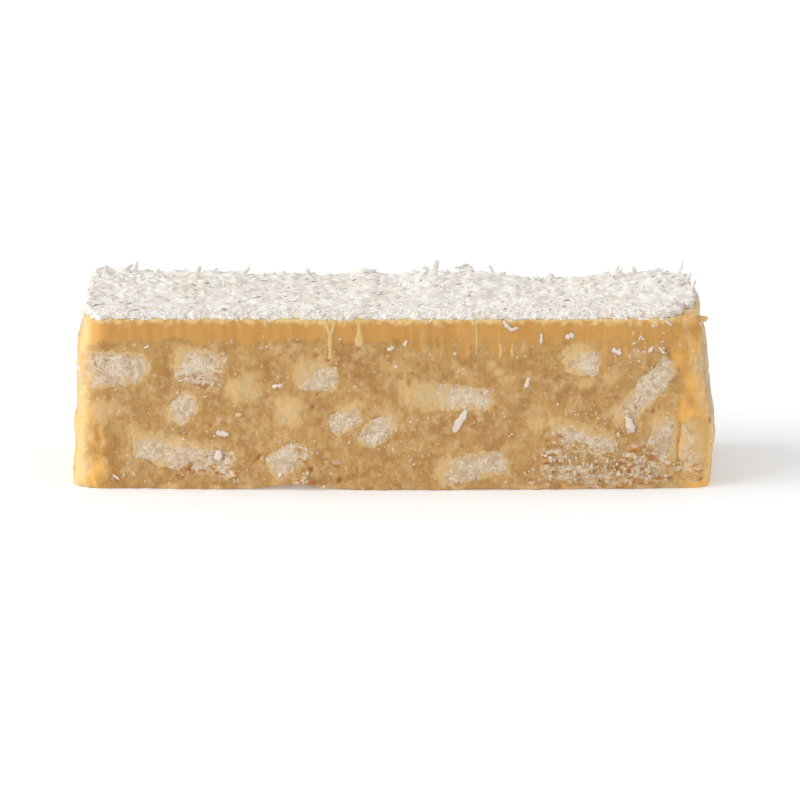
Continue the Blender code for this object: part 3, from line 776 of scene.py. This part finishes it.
def add_biscuits(skin):
    """Adds the biscuit. Returns how far in each point of the skin is, and how pale the caramel there."""
    points = skin.points
    inset = np.full(skin.owner.shape, NO_BISCUIT)
    pale = np.zeros(skin.owner.shape)
    ragged = sum(most * MM * noise_at(points, size, seed) for most, size, seed in RAGGED)
    patchy = patches(points, 2.4, 23, 0.5, 2.5)
    crumbled = crumbled_share(points)
    # The painted glow toward the bar's ends, for the biscuit there
    painted_glow_and_groove_tint, _ = end_shares(points)
    for name in BISCUITS:
        inside = skin.owner == name
        window = window_of(inside)
        grid, marked = points[window], inside[window]
        own_inset = blur(inset_of(grid, marked), 1.2, 1.2) + ragged[window]
        wet = soaked_share(name, grid, marked)
        toast = np.maximum(toasted_share(name, grid, marked, own_inset), 0.9 * crumbled[window])
        add_biscuit(name, skin, window, own_inset, wet, toast, painted_glow_and_groove_tint[window])
        inset[window] = np.maximum(inset[window], own_inset)
        reach = (0.8 + 0.7 * wet) * MM * (1 + 0.9 * noise_at(grid, 1.2, 10))
        halo = 0.75 * np.maximum(0.4 * patchy[window], wet)
        halo *= smooth(1.1 + (own_inset - MEETING) / np.maximum(reach, 0.2 * MM))
        pale[window] = np.maximum(pale[window], halo)
    return inset, pale


def front_pits(points):
    """Holes in the cut faces below the icing: their depth in metres, and how dark each point is."""
    rng = np.random.default_rng(4)
    below_icing = len(points) * 4 // 5
    flat = points[:below_icing].reshape(-1, 3)
    bent = flat + 0.25 * MM * noise_at(flat, 0.5, 30)[:, None]
    chosen = flat[rng.integers(len(flat), size=RANDOM_PITS)]
    sizes = rng.uniform(0.15, 0.42, RANDOM_PITS)
    holes = list(zip(chosen, sizes, sizes))
    # Added to the distance of points on the back, so that these holes go in the front
    behind = 99 * (flat[:, 1] > 0)
    for along, up, radius, most in PITS:
        nearest = np.argmin(np.hypot(along_of(flat) - along, up_of(flat) - up) + behind)
        holes.append((flat[nearest], radius, most))
    depth = np.zeros(points.shape[:-1])
    for place, radius, most in holes:
        apart = np.linalg.norm(bent - place, axis=1) / (radius * MM)
        hole = 0.6 * most * MM * smooth(1.4 - 0.9 * apart)
        depth[:below_icing] = np.maximum(depth[:below_icing], hole.reshape(below_icing, -1))
    return depth, 0.85 * smooth(depth / (0.35 * MM))


def crumbled_share(points):
    """Where biscuit crumbled into the caramel: 1 in the thick of it."""
    share = sum(bell(points, *place) for place in CRUMBLED)
    return smooth(1.4 * share + 0.9 * noise_at(points, 1.6, 33) - 0.35)


def body_relief(points):
    """The unevenness of cut caramel, and of biscuit that is full of it."""
    nearest, second = cells_at(points, 2, 1)
    lumps = 0.14 * smooth((second - nearest) / 0.5) * patches(points, 6, 2, 0.6, 1.8)
    return (lumps + 0.16 * noise_at(points, 1.5, 3) + 0.09 * noise_at(points, 0.7, 4)) * MM


def round_off(gap, radius):
    """How far a surface draws in near an edge, for the gap between the edge and each point."""
    return np.maximum(0.0, 1 - gap / radius) ** 2 * radius


def foot_relief(points, low):
    """The ragged, round lower edge of the cut."""
    gap = points[..., 2] - low
    ragged = 0.5 * MM * noise_at(points, 1.4, 5) * smooth(1 - gap / (2.0 * MM))
    return ragged - round_off(gap, 0.5 * MM)


def icing_relief(points, high):
    """How far the icing stands out: upright knife marks, slow waves and a soft upper edge."""
    streaks = noise_at(points * np.array((1, 1, 0.08)), 1.4, 1)
    waves = noise_at(points, 5, 2)
    return (0.07 * streaks + 0.12 * waves) * MM - 0.7 * round_off(high - points[..., 2], 0.45 * MM)


def groove_share(points):
    """Upright grooves in the front: how deep each point lies in one, in metres."""
    depth = np.zeros(points.shape[:-1])
    bent = along_of(points) + 0.5 * noise_at(points, 3, 46)
    for along, lowest, highest, half_width, most in GROOVES:
        ends = smooth((up_of(points) - lowest) / 2) * smooth((highest - up_of(points)) / 2)
        depth = np.maximum(depth, most * MM * np.exp(-((bent - along) / half_width) ** 2) * ends)
    return depth * (points[..., 1] < -15 * MM)


def icing_share(points, seam):
    """1 in the icing, 0 in the caramel: a clear edge on the left, streaks drawn down on the right."""
    streaks = noise_at(points * np.array((1, 1, 0.05)), 0.9, 40)
    dragged = smooth(along_of(points) / 8) * (points[..., 1] < 0)
    edge = seam + (0.2 + 1.2 * noise_at(points, 1.6, 41)) * MM
    edge = edge - dragged * np.maximum(0.0, streaks + 0.1) * 7 * MM
    width = (0.6 + 2.2 * dragged) * MM
    return smooth((points[..., 2] - edge) / width + 0.5)


def end_shares(points):
    """The painted golden glow toward the bar's ends, and the painted pale highlight along its upright
    edges.
    """
    along, up = along_of(points), up_of(points)
    left = along < 0
    low_left = 2.5 * smooth((12 - up) / 8) * left
    reach = np.abs(along) - np.where(left, 55.0, 52.5) + low_left + 3 * noise_at(points, 3.5, 42)
    patchy = patches(points, 4, 47, 0.5, 1.6)
    near_front = smooth((-11 - points[..., 1] / MM) / 5)
    # Painted glow: light through the caramel at the left end, and light painted over the shade at the
    # right end, most near the front
    front_painted_glow = near_front * np.where(left, 0.45 * patchy + 0.2, 0.8)
    painted_glow = smooth(reach / 4) * (0.06 + 0.12 * patchy + front_painted_glow)
    toward_end = np.abs(RIM_OUT[:, 0])
    # Painted highlight down the upright corners, stronger at the left end, which faces the lamp
    upright = smooth((toward_end - 0.5) / 0.3) * smooth((1 - toward_end) / 0.08)
    upright = upright * patches(points, 3, 45, 0.9, 1.1) * near_front
    # Painted light on the shelf at the top of the right end, which faces away from the lamp
    shelf = smooth((along - 52) / 4) * smooth((up - 28.5) / 2.5) * near_front
    return np.maximum(painted_glow, 0.9 * shelf), np.where(left, 0.75, 0.4) * upright


def dress_wall(skin, seam, inset, pale):
    """The cut faces with their relief, the same with pockets for the biscuit, and their numbers."""
    points = skin.points
    above = smooth((skin.height - seam) / (1.2 * MM) + 0.6)
    free = smooth(-inset / (0.5 * MM))
    crumbled = crumbled_share(points) * free
    crumb = noise_at(points, 0.9, 34) + 0.7 * noise_at(points, 0.45, 36)
    crumb_tops = smooth(0.65 + crumb / 0.5)
    pits, dark = front_pits(points)
    grooves = groove_share(points)
    # The painted glow toward the ends, and the painted highlight on the upright edges
    painted_end_glow, edges = end_shares(points)
    folds = noise_at(points * np.array((1, 1, 0.22)), 2.2, 43) + 0.5 * noise_at(points, 1.6, 44)
    out = (body_relief(points) + foot_relief(points, skin.low)) * (1 - above)
    out += icing_relief(points, skin.high) * above
    out += 0.25 * MM * (crumb_tops - 0.7) * crumbled
    out += (0.4 * MM * folds * painted_end_glow - pits - grooves) * free
    for *place, strength in LUMPS:
        pale = np.maximum(pale, strength * smooth(1.6 * bell(points, *place)))
    foot = smooth(1.3 - skin.height / (1.2 * MM)) * patches(points, 3, 48, 0.1, 2.5)
    pale = np.maximum(pale, 0.8 * foot * (1 - above))
    lip_noise = 0.9 * noise_at(points, 1.4, 4) + 0.6 * noise_at(points, 0.6, 6)
    lip_and_painted_highlight = 0.8 * smooth(1.1 - (skin.high - skin.height) / (1.1 * MM) + lip_noise)
    values = {
        "icing": icing_share(points, seam),
        # Painted glow at the ends, and a golden tint in the grooves
        "painted_glow_and_groove_tint": np.maximum(painted_end_glow, grooves / (0.6 * MM)),
        "pale": pale * (1 - crumbled),
        "crumbled": crumbled,
        "pit": np.maximum(dark * free, 0.5 * crumbled * smooth(1 - 1.8 * crumb_tops)),
        # The icing's pale lip, and the painted highlight on the upright edges
        "lip_and_painted_highlight": np.maximum(lip_and_painted_highlight * (1 - 0.7 * painted_end_glow), edges),
    }
    face = points + OUT * out[..., None]
    pockets = POCKET * smooth((inset - MEETING) / (0.6 * MM))
    return face, face - OUT * pockets[..., None], values


def layer(name, finish, skin, seam, wall, values, ends, side, below, above):
    """A closed piece of the wall between two heights, with rings run in below and above it.

    It draws in behind the other layer: above the seam if side is 1, and below it if side is -1.
    """
    bottom, top = ends
    rows = round(float((top - bottom).max()) / ROW_STEP)
    heights = bottom + (np.arange(rows) / (rows - 1))[:, None] * (top - bottom)
    row_of = (heights - skin.low) / (skin.high - skin.low) * (len(wall) - 1)
    column_of = np.broadcast_to(np.arange(len(RIM), dtype=float), heights.shape)
    part = sample(wall, row_of, column_of)
    past = np.maximum(0.0, side * (part[..., 2] - seam))
    part -= OUT * (0.5 / OVERLAP * past ** 2)[..., None]
    foot = [ring(part[0], inset * MM, height) for inset, height in below]
    head = [ring(part[-1], inset * MM, height) for inset, height in above]
    points = np.concatenate((*foot, part, *head))
    pad = [(len(foot), len(head)), (0, 0)]
    values = {key: sample(numbers, row_of, column_of) for key, numbers in values.items()}
    values = {key: np.pad(numbers, pad, mode="edge") for key, numbers in values.items()}
    return new_piece(name, points, tube_faces(len(points), len(RIM)), finish, values)


def add_caramel(skin, seam, wall, values):
    ends = skin.low, seam + OVERLAP
    below = (9, 0.0), (5, 0.0), (2, skin.low * 0.5), (0.5, skin.low)
    above = ((3, seam.min()),)
    piece = layer("caramel", CARAMEL_FINISH, skin, seam, wall, values, ends, 1, below, above)
    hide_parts("caramel_base")


def add_icing(skin, seam, wall, values):
    ends = seam - OVERLAP, skin.high
    below = ((3, seam - OVERLAP),)
    above = (0.6, skin.high), (4, skin.high.max())
    piece = layer("icing_band", ICING_FINISH, skin, seam, wall, values, ends, -1, below, above)
    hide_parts("icing")


# ---- What lies on the cut faces ----


class Front:
    """The front cut, to set things on."""

    def __init__(self, wall):
        self.wall = wall[:, RIM_OUT[:, 1] < -0.6]
        self.along = self.wall[len(wall) // 2, :, 0]

    def place(self, along, up):
        """The point of the front cut at this place, in metres."""
        line = self.wall[:, np.argmin(np.abs(self.along - along * MM))]
        y = np.interp(up * MM, line[:, 2], line[:, 1])
        return np.array((along * MM, y, up * MM))

    def scatter(self, clusters, rng):
        """Places in elliptic clusters of (along, up, half length, half height, count)."""
        low, high = self.wall[0, :, 2].max() / MM + 0.3, self.wall[-1, :, 2].min() / MM - 0.3
        first, last = self.along[0] / MM + 1, self.along[-1] / MM - 1
        places = []
        for along, up, half_length, half_height, count in clusters:
            spots = rng.normal(0, 0.6, (count, 2)) * (half_length, half_height) + (along, up)
            places += [self.place(x, z) for x, z in spots if first < x < last and low < z < high]
        return np.array(places)


def add_drips(front):
    """Ridges of icing that run down the front, each an oval tube half sunk in it."""
    points, faces = [], []
    sides = 10
    for path in DRIPS:
        stations = np.linspace(0, len(path) - 1, 7 * (len(path) - 1) + 1)
        fine = np.column_stack([np.interp(stations, range(len(path)), column) for column in zip(*path)])
        fine[1:-1] = (fine[:-2] + 2 * fine[1:-1] + fine[2:]) / 4
        fine[[0, -1], 2] *= DRIP_END
        faces += [[len(points) + k for k in face] for face in tube_faces(len(fine), sides)]
        for k, (along, up, half_width) in enumerate(fine):
            heading = fine[min(k + 1, len(fine) - 1)] - fine[max(k - 1, 0)]
            across = np.array((heading[1], 0, -heading[0])) / np.hypot(heading[0], heading[1])
            for side in range(sides):
                angle = math.tau * side / sides
                round_it = across * math.cos(angle) - np.array((0, DRIP_DEPTH * math.sin(angle), 0))
                points.append(front.place(along, up) + half_width * MM * round_it)
    values = {"icing": np.ones(len(points)), "lip_and_painted_highlight": np.full(len(points), 0.5)}
    piece = new_piece("icing_drips", np.array(points), faces, DRIP_FINISH, values)


def turned(yaw, tilt, lean):
    """Axes of pieces that lie flat, turned by yaw, then tilted and leaned, all in radians."""
    along = np.stack((np.cos(yaw) * np.cos(tilt), np.sin(yaw) * np.cos(tilt), np.sin(tilt)), axis=-1)
    level = np.stack((-np.sin(yaw), np.cos(yaw), np.zeros(len(yaw))), axis=-1)
    over = np.cross(along, level)
    across = level * np.cos(lean)[:, None] + over * np.sin(lean)[:, None]
    return np.stack((along, across, np.cross(along, across)), axis=1)


def stood_up(axes):
    """Axes of pieces that lay flat, turned so that they lie on the front cut."""
    return np.stack((axes[..., 0], -axes[..., 2], axes[..., 1]), axis=-1)


def laid_on(axes, facing):
    """Axes of pieces that lay level, tipped so that they lie on a surface that faces this way."""
    first = np.cross((0.0, 1.0, 0.0), facing)
    first /= np.linalg.norm(first, axis=1, keepdims=True)
    return axes @ np.stack((first, np.cross(facing, first), facing), axis=1)


def add_shreds(name, places, axes, sizes, bend, tone_and_painted_gap_shade, rng, stations=4, narrowing=0.6):
    """Many shreds of coconut in one mesh, each with ragged sides and narrower toward its ends.

    axes holds each shred's directions along, across and over, and sizes its length, width and thickness.
    """
    count, sides = len(places), 6
    share = np.linspace(-0.5, 0.5, stations)
    taper = (1 - narrowing * np.abs(2 * share) ** 3)[None, :, None]
    angles = math.tau * np.arange(sides) / sides
    ragged = rng.uniform(0.5, 1.25, (count, stations, 2))[:, :, (np.cos(angles) > 0).astype(int)]
    length, width, thick = (sizes[:, k, None, None] * MM for k in range(3))
    share = share[None, :, None]
    u = np.broadcast_to(share * length, (count, stations, sides))
    v = 0.5 * np.cos(angles) * width * taper * ragged
    w = 0.5 * np.sin(angles) * thick * np.sqrt(taper)
    w = w + bend[:, None, None] * length * (0.5 - (2 * share) ** 2)
    offsets = (part[..., None] * axes[:, None, None, k] for k, part in enumerate((u, v, w)))
    points = places[:, None, None] + sum(offsets)
    faces = repeated(tube_faces(stations, sides), stations * sides, count)
    values = {"tone_and_painted_gap_shade": np.repeat(tone_and_painted_gap_shade, stations * sides)}
    piece = new_piece(name, points, faces, COCONUT_FINISH, values)


def add_placed_shreds(name, seed, places, table, spreads, thick, bends, tone_and_painted_gap_shade, stations, narrowing):
    """Shreds that face the front, at set places. table holds the length, width and turn of each."""
    rng = np.random.default_rng(seed)
    count = len(table)
    tilt, lean = (rng.normal(0, spread, count) for spread in spreads)
    axes = stood_up(turned(np.radians(table[:, 2]), tilt, lean))
    sizes = np.column_stack((table[:, :2], np.full(count, thick)))
    bend, tone_and_painted_gap_shade = rng.uniform(*bends, count), np.full(count, tone_and_painted_gap_shade)
    add_shreds(name, places, axes, sizes, bend, tone_and_painted_gap_shade, rng, stations, narrowing)


def add_stuck_shreds(front):
    """The shreds that fell on the front cut."""
    table = np.array(STUCK_SHREDS)
    places = np.array([front.place(along, up) for along, up in table[:, :2]])
    places[:, 1] -= 0.12 * MM
    bends = (-0.05, 0.1)
    add_placed_shreds("stuck_shreds", 31, places, table[:, 2:], (0.06, 0.1), 0.12, bends, 0.45, 8, 0.4)


def top_near(mat_tree, x, y):
    """The top of the coconut at this place, or as near to it as the coconut reaches."""
    top = None
    while top is None:
        top = cast(mat_tree, (x, y, ABOVE_ALL), -UP)[0]
        x, y = 0.99 * x, 0.99 * y
    return top


def add_loose_shreds(mat_tree):
    """The shreds that show against the background, over the coconut and at the left end."""
    table = list(END_SHREDS)
    for x, y, length, width, turn in STANDING_SHREDS:
        top = top_near(mat_tree, x * MM, y * MM) / MM
        angle = math.radians(turn)
        rise = 0.35 * (length * abs(math.sin(angle)) + width * abs(math.cos(angle)))
        table.append((top.x, top.y, top.z + rise, length, width, turn))
    table = np.array(table)
    places, bends = table[:, :3] * MM, (-0.08, 0.08)
    add_placed_shreds("loose_shreds", 32, places, table[:, 3:], (0.1, 0.3), 0.35, bends, 0, 6, 0.6)


def add_bits(name, places, sizes, rng, finish, values, detail, shares=None):
    """Many small uneven lumps in one mesh. shares are the length, depth and height of each, if set."""
    bm = bmesh.new()
    bmesh.ops.create_icosphere(bm, subdivisions=detail, radius=0.5)
    ball = np.array([vert.co for vert in bm.verts])
    faces = [[vert.index for vert in face.verts] for face in bm.faces]
    bm.free()
    count = len(places)
    offsets = rng.uniform(0, 99, (2, count, 1, 3))
    rough = 0.55
    if shares is None:
        shares = rng.uniform(0.55, 1.2, (count, 3))
    else:
        rough = 0.25
        ball = 0.5 * np.sign(ball) * np.abs(2 * ball) ** 0.7
    shape = ball * shares[:, None] * sizes[:, None, None] * MM
    for offset, size in zip(offsets, (0.45, 0.2)):
        shape = shape * (1 + rough * noise_at((ball + offset) * MM, size))[..., None]
    numbers = {key: np.repeat(number, len(ball)) for key, number in values.items()}
    faces = repeated(faces, len(ball), count)
    piece = new_piece(name, shape + places[:, None], faces, finish, numbers, smooth_faces=detail > 2)


def add_caramel_lumps():
    """The drawn-out stub and the other soft lumps of caramel at the ends."""
    table = np.array(CARAMEL_LUMPS)
    places, sizes = table[:, :3] * MM, table[:, 3:]
    largest = sizes.max(axis=1)
    count = len(table)
    # The lumps take the pale lip colour and some painted glow
    values = {"icing": np.ones(count), "lip_and_painted_highlight": np.full(count, 0.7), "painted_glow_and_groove_tint": np.full(count, 0.5)}
    rng = np.random.default_rng(33)
    shares = sizes / largest[:, None]
    add_bits("caramel_lumps", places, largest, rng, DRIP_FINISH, values, 4, shares)


def add_crumbs(front):
    """The specks and crumbs on the front cut: few of them large."""
    rng = np.random.default_rng(41)
    places = front.scatter(SPECKS, rng)
    sizes = 1.15 * (0.16 + 0.5 * rng.random(len(places)) ** 2.5)
    values = {"tone_and_painted_gap_shade": rng.uniform(0.3, 1.0, len(places))}
    add_bits("specks", places, sizes, rng, COCONUT_FINISH, values, 1)
    places = front.scatter(CRUMBS, rng)
    sizes = 0.25 + 1.0 * rng.random(len(places)) ** 2.5
    values = {"wet": rng.uniform(0, 0.5, len(places))}
    values["toast"] = np.where(rng.random(len(places)) < 0.15, 0.7, 0.0)
    add_bits("biscuit_crumbs", places, sizes, rng, BISCUIT_FINISH, values, 2)


# ---- Coconut ----


def mat_grid(skin):
    """The mat before its relief: rings from a round rim over the top, to a line along the middle."""
    near_top = -4
    side = skin.points[near_top].copy()
    # The right end is worn in, most of all at its front corner
    right_end = smooth((along_of(side) - 52) / 4)
    right_corner = np.exp(-((along_of(side) - 57.5) ** 2 + (side[:, 1] / MM + 15) ** 2) / 34)
    side -= OUT * ((0.6 * right_end + 3.2 * right_corner) * MM)[:, None]
    rows = []
    for k in range(MAT_ROWS + 1):
        turn = math.pi / 2 * k / MAT_ROWS
        row = side - OUT * (MAT_INSET + MAT_EDGE * (1 - math.cos(turn)))
        row[:, 2] = skin.high - MAT_SUNK + (MAT + MAT_SUNK) * math.sin(turn)
        rows.append(row)
    reach = np.abs(side[:, 1]).max()
    spine = np.clip(side[:, 0], reach - side[:, 0].max(), side[:, 0].max() - reach)
    inner = np.column_stack((spine, np.zeros(len(side)), np.full(len(side), skin.high.max() + MAT)))
    edge = rows[-1]
    for share in np.arange(1, TOP_RINGS + 1) / TOP_RINGS:
        row = edge * (1 - share) + inner * share
        row[:, 2] = edge[:, 2] + (inner[:, 2] - edge[:, 2]) * smooth(share * 3)
        rows.append(row)
    return np.array(rows)


def add_mat(skin):
    """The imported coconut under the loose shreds."""
    grid = mat_grid(skin)
    large, small = clumps(grid, 2.4, 1), clumps(grid, 1, 5)
    relief = 0.45 * noise_at(grid, 5.5, 6) + 0.22 * noise_at(grid, 2.4, 2)
    relief += 0.26 * large + 0.07 * small - 0.17
    toward_back = smooth((grid[..., 1] / MM + 8) / 20)
    relief += toward_back * (np.interp(along_of(grid), *zip(*HEAPS)) + 0.3 * large)
    on_top = smooth((np.arange(len(grid)) - 1) / MAT_ROWS)[:, None]
    ragged = 0.4 * large + 0.2 * small - 0.3
    grid[..., 2] += relief * on_top * MM
    ragged += 0.4 * noise_at(grid, 1.5, 3)
    grid += OUT * (ragged * (1 - on_top))[..., None] * MM
    front = grid[0, :, 1] < 0
    for column in np.nonzero(~front)[0]:
        twin = np.argmin(np.abs(grid[-1, front, 0] - grid[-1, column, 0]))
        grid[-1, column] = grid[-1, front][twin]
    points = np.concatenate((ring(grid[0], 3 * MM, grid[0][:, 2]), grid))
    tan = patches(grid, 3.2, 8, 0.3, 2.4)
    # Painted shade: tan in the gaps between the clumps, in patches, over a slight random tone
    tone_and_painted_gap_shade = 0.04 + 0.1 * noise_at(grid, 3, 5) + (0.24 * (1 - large) + 0.1 * (1 - small)) * tan
    tone_and_painted_gap_shade = np.pad(np.clip(tone_and_painted_gap_shade, 0, 1), [(1, 0), (0, 0)], mode="edge")
    faces = tube_faces(len(points), len(RIM))[:-1]
    piece = new_piece("coconut_mat", points, faces, COCONUT_FINISH, {"tone_and_painted_gap_shade": tone_and_painted_gap_shade})
    close_spine(piece.data)
    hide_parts("coconut")
    return piece, grid


def close_spine(mesh):
    """Joins the mat's two sides where they meet along its middle."""
    bm = bmesh.new()
    bm.from_mesh(mesh)
    rim = [vert for vert in bm.verts if vert.is_boundary]
    bmesh.ops.remove_doubles(bm, verts=rim, dist=0.001 * MM)
    bmesh.ops.holes_fill(bm, edges=[edge for edge in bm.edges if edge.is_boundary], sides=0)
    bm.to_mesh(mesh)
    bm.free()
    mesh.shade_smooth()


def on_top_places(count, rng, mat_tree):
    """Places spread over the coconut, each on the mat, and which way the mat faces there."""
    reach = 0.6 * MM
    places, facing = [], []
    half_x, half_y, _ = CAD_BOX[1]
    while len(places) < count:
        x, y = rng.uniform(-half_x, half_x), rng.uniform(-half_y, half_y)
        around = ((x + reach, y), (x - reach, y), (x, y + reach), (x, y - reach))
        hits = [cast(mat_tree, (*spot, ABOVE_ALL), -UP)[0] for spot in around]
        if None not in hits:
            right, left, behind, before = (hit.z for hit in hits)
            places.append((x, y, (right + left + behind + before) / 4))
            facing.append(((left - right) / 2 / reach, (before - behind) / 2 / reach, 1.0))
    facing = np.array(facing)
    return np.array(places), facing / np.linalg.norm(facing, axis=1, keepdims=True)


def add_coconut(skin):
    """The mat and the shreds on it. Returns the mat's search tree."""
    mat, grid = add_mat(skin)
    tree = BVHTree.FromObject(mat, bpy.context.evaluated_depsgraph_get())
    for name, count, lengths, widths, thick, pitch, lift, seed in SHREDS:
        rng = np.random.default_rng(seed)
        places, facing = on_top_places(count, rng, tree)
        places[:, 2] += rng.uniform(*lift, count) * MM
        columns = rng.uniform(*lengths, count), rng.uniform(*widths, count), np.full(count, thick)
        some = rng.random(count) < 0.1
        tone_and_painted_gap_shade = np.where(some, rng.uniform(0.2, 0.4, count), rng.uniform(0, 0.06, count))
        angles = rng.normal(0, math.radians(pitch), (2, count))
        axes = laid_on(turned(rng.uniform(0, math.tau, count), *angles), facing)
        bend = rng.normal(0, 0.05, count)
        add_shreds(name, places, axes, np.column_stack(columns), bend, tone_and_painted_gap_shade, rng)
    add_rim_shreds(grid)
    return tree


def add_rim_shreds(grid):
    """Shreds along the coconut's edge, some of which stand out over the icing or up."""
    rng = np.random.default_rng(23)
    count = RIM_SHREDS
    row = rng.integers(0, MAT_ROWS + 1, count)
    gaps = np.linalg.norm(RIM - np.roll(RIM, 1, axis=0), axis=1)
    column = rng.choice(len(RIM), count, p=gaps / gaps.sum())
    places = grid[row, column] + OUT[column] * rng.uniform(-0.1, 0.12, (count, 1)) * MM
    face_yaw = np.arctan2(RIM_OUT[column, 1], RIM_OUT[column, 0]) + math.pi / 2
    yaw = face_yaw + rng.normal(0, 0.6, count)
    axes = turned(yaw, rng.normal(0, 0.35, count), rng.normal(0.9, 0.4, count))
    columns = rng.uniform(0.6, 1.7, count), rng.uniform(0.3, 0.6, count), np.full(count, 0.28)
    tone_and_painted_gap_shade = rng.uniform(0, 0.15, count)
    bend = rng.normal(0, 0.06, count)
    add_shreds("rim_shreds", places, axes, np.column_stack(columns), bend, tone_and_painted_gap_shade, rng)


# ---- The room ----


def add_floor():
    """The white table, which glows a little so that it stays white under the bar."""
    bpy.ops.mesh.primitive_plane_add(size=FLOOR_SIZE)
    floor = bpy.context.object
    floor.name = "floor"
    f = Finish("white_table")
    floor.data.materials.append(f.surface(TABLE_WHITE, FLOOR_ROUGHNESS))
    f.shader.inputs["Emission Color"].default_value = WHITE
    f.shader.inputs["Emission Strength"].default_value = FLOOR_GLOW


def add_lights():
    """A white tent, and a broad lamp at the left."""
    world = bpy.data.worlds.new("white_tent")
    bpy.context.scene.world = world
    world.use_nodes = True
    world.node_tree.nodes["Background"].inputs["Color"].default_value = WHITE
    world.node_tree.nodes["Background"].inputs["Strength"].default_value = TENT_STRENGTH
    lamp = bpy.data.lights.new("softbox", "SUN")
    lamp.energy = LAMP_STRENGTH
    lamp.angle = math.radians(LAMP_SPREAD)
    softbox = bpy.data.objects.new("softbox", lamp)
    softbox.rotation_euler = LAMP_FROM.to_track_quat("Z", "Y").to_euler()
    bpy.context.scene.collection.objects.link(softbox)


def add_camera():
    camera = bpy.data.cameras.new("camera")
    camera.lens = CAMERA_LENS
    camera.clip_start = 10 * MM
    holder = bpy.data.objects.new("camera", camera)
    tilt = math.radians(CAMERA_ELEVATION)
    away = Vector((0, -math.cos(tilt), math.sin(tilt)))
    holder.location = CAMERA_TARGET + away * CAMERA_DISTANCE
    holder.rotation_euler = away.to_track_quat("Z", "Y").to_euler()
    bpy.context.scene.collection.objects.link(holder)
    bpy.context.scene.camera = holder


def main():
    bpy.context.scene.view_settings.view_transform = "Standard"
    skin = Skin(["caramel_base", "icing"] + BISCUITS)
    under = edge_heights(tree_of(["caramel_base"] + BISCUITS)[0], False)
    seam = (under + edge_heights(tree_of(["icing"])[0], True)) / 2
    inset, pale = add_biscuits(skin)
    face, wall, values = dress_wall(skin, seam, inset, pale)
    add_caramel(skin, seam, wall, values)
    add_icing(skin, seam, wall, values)
    front = Front(face)
    add_drips(front)
    add_stuck_shreds(front)
    add_crumbs(front)
    mat_tree = add_coconut(skin)
    add_loose_shreds(mat_tree)
    add_caramel_lumps()
    add_floor()
    add_lights()
    add_camera()


main()
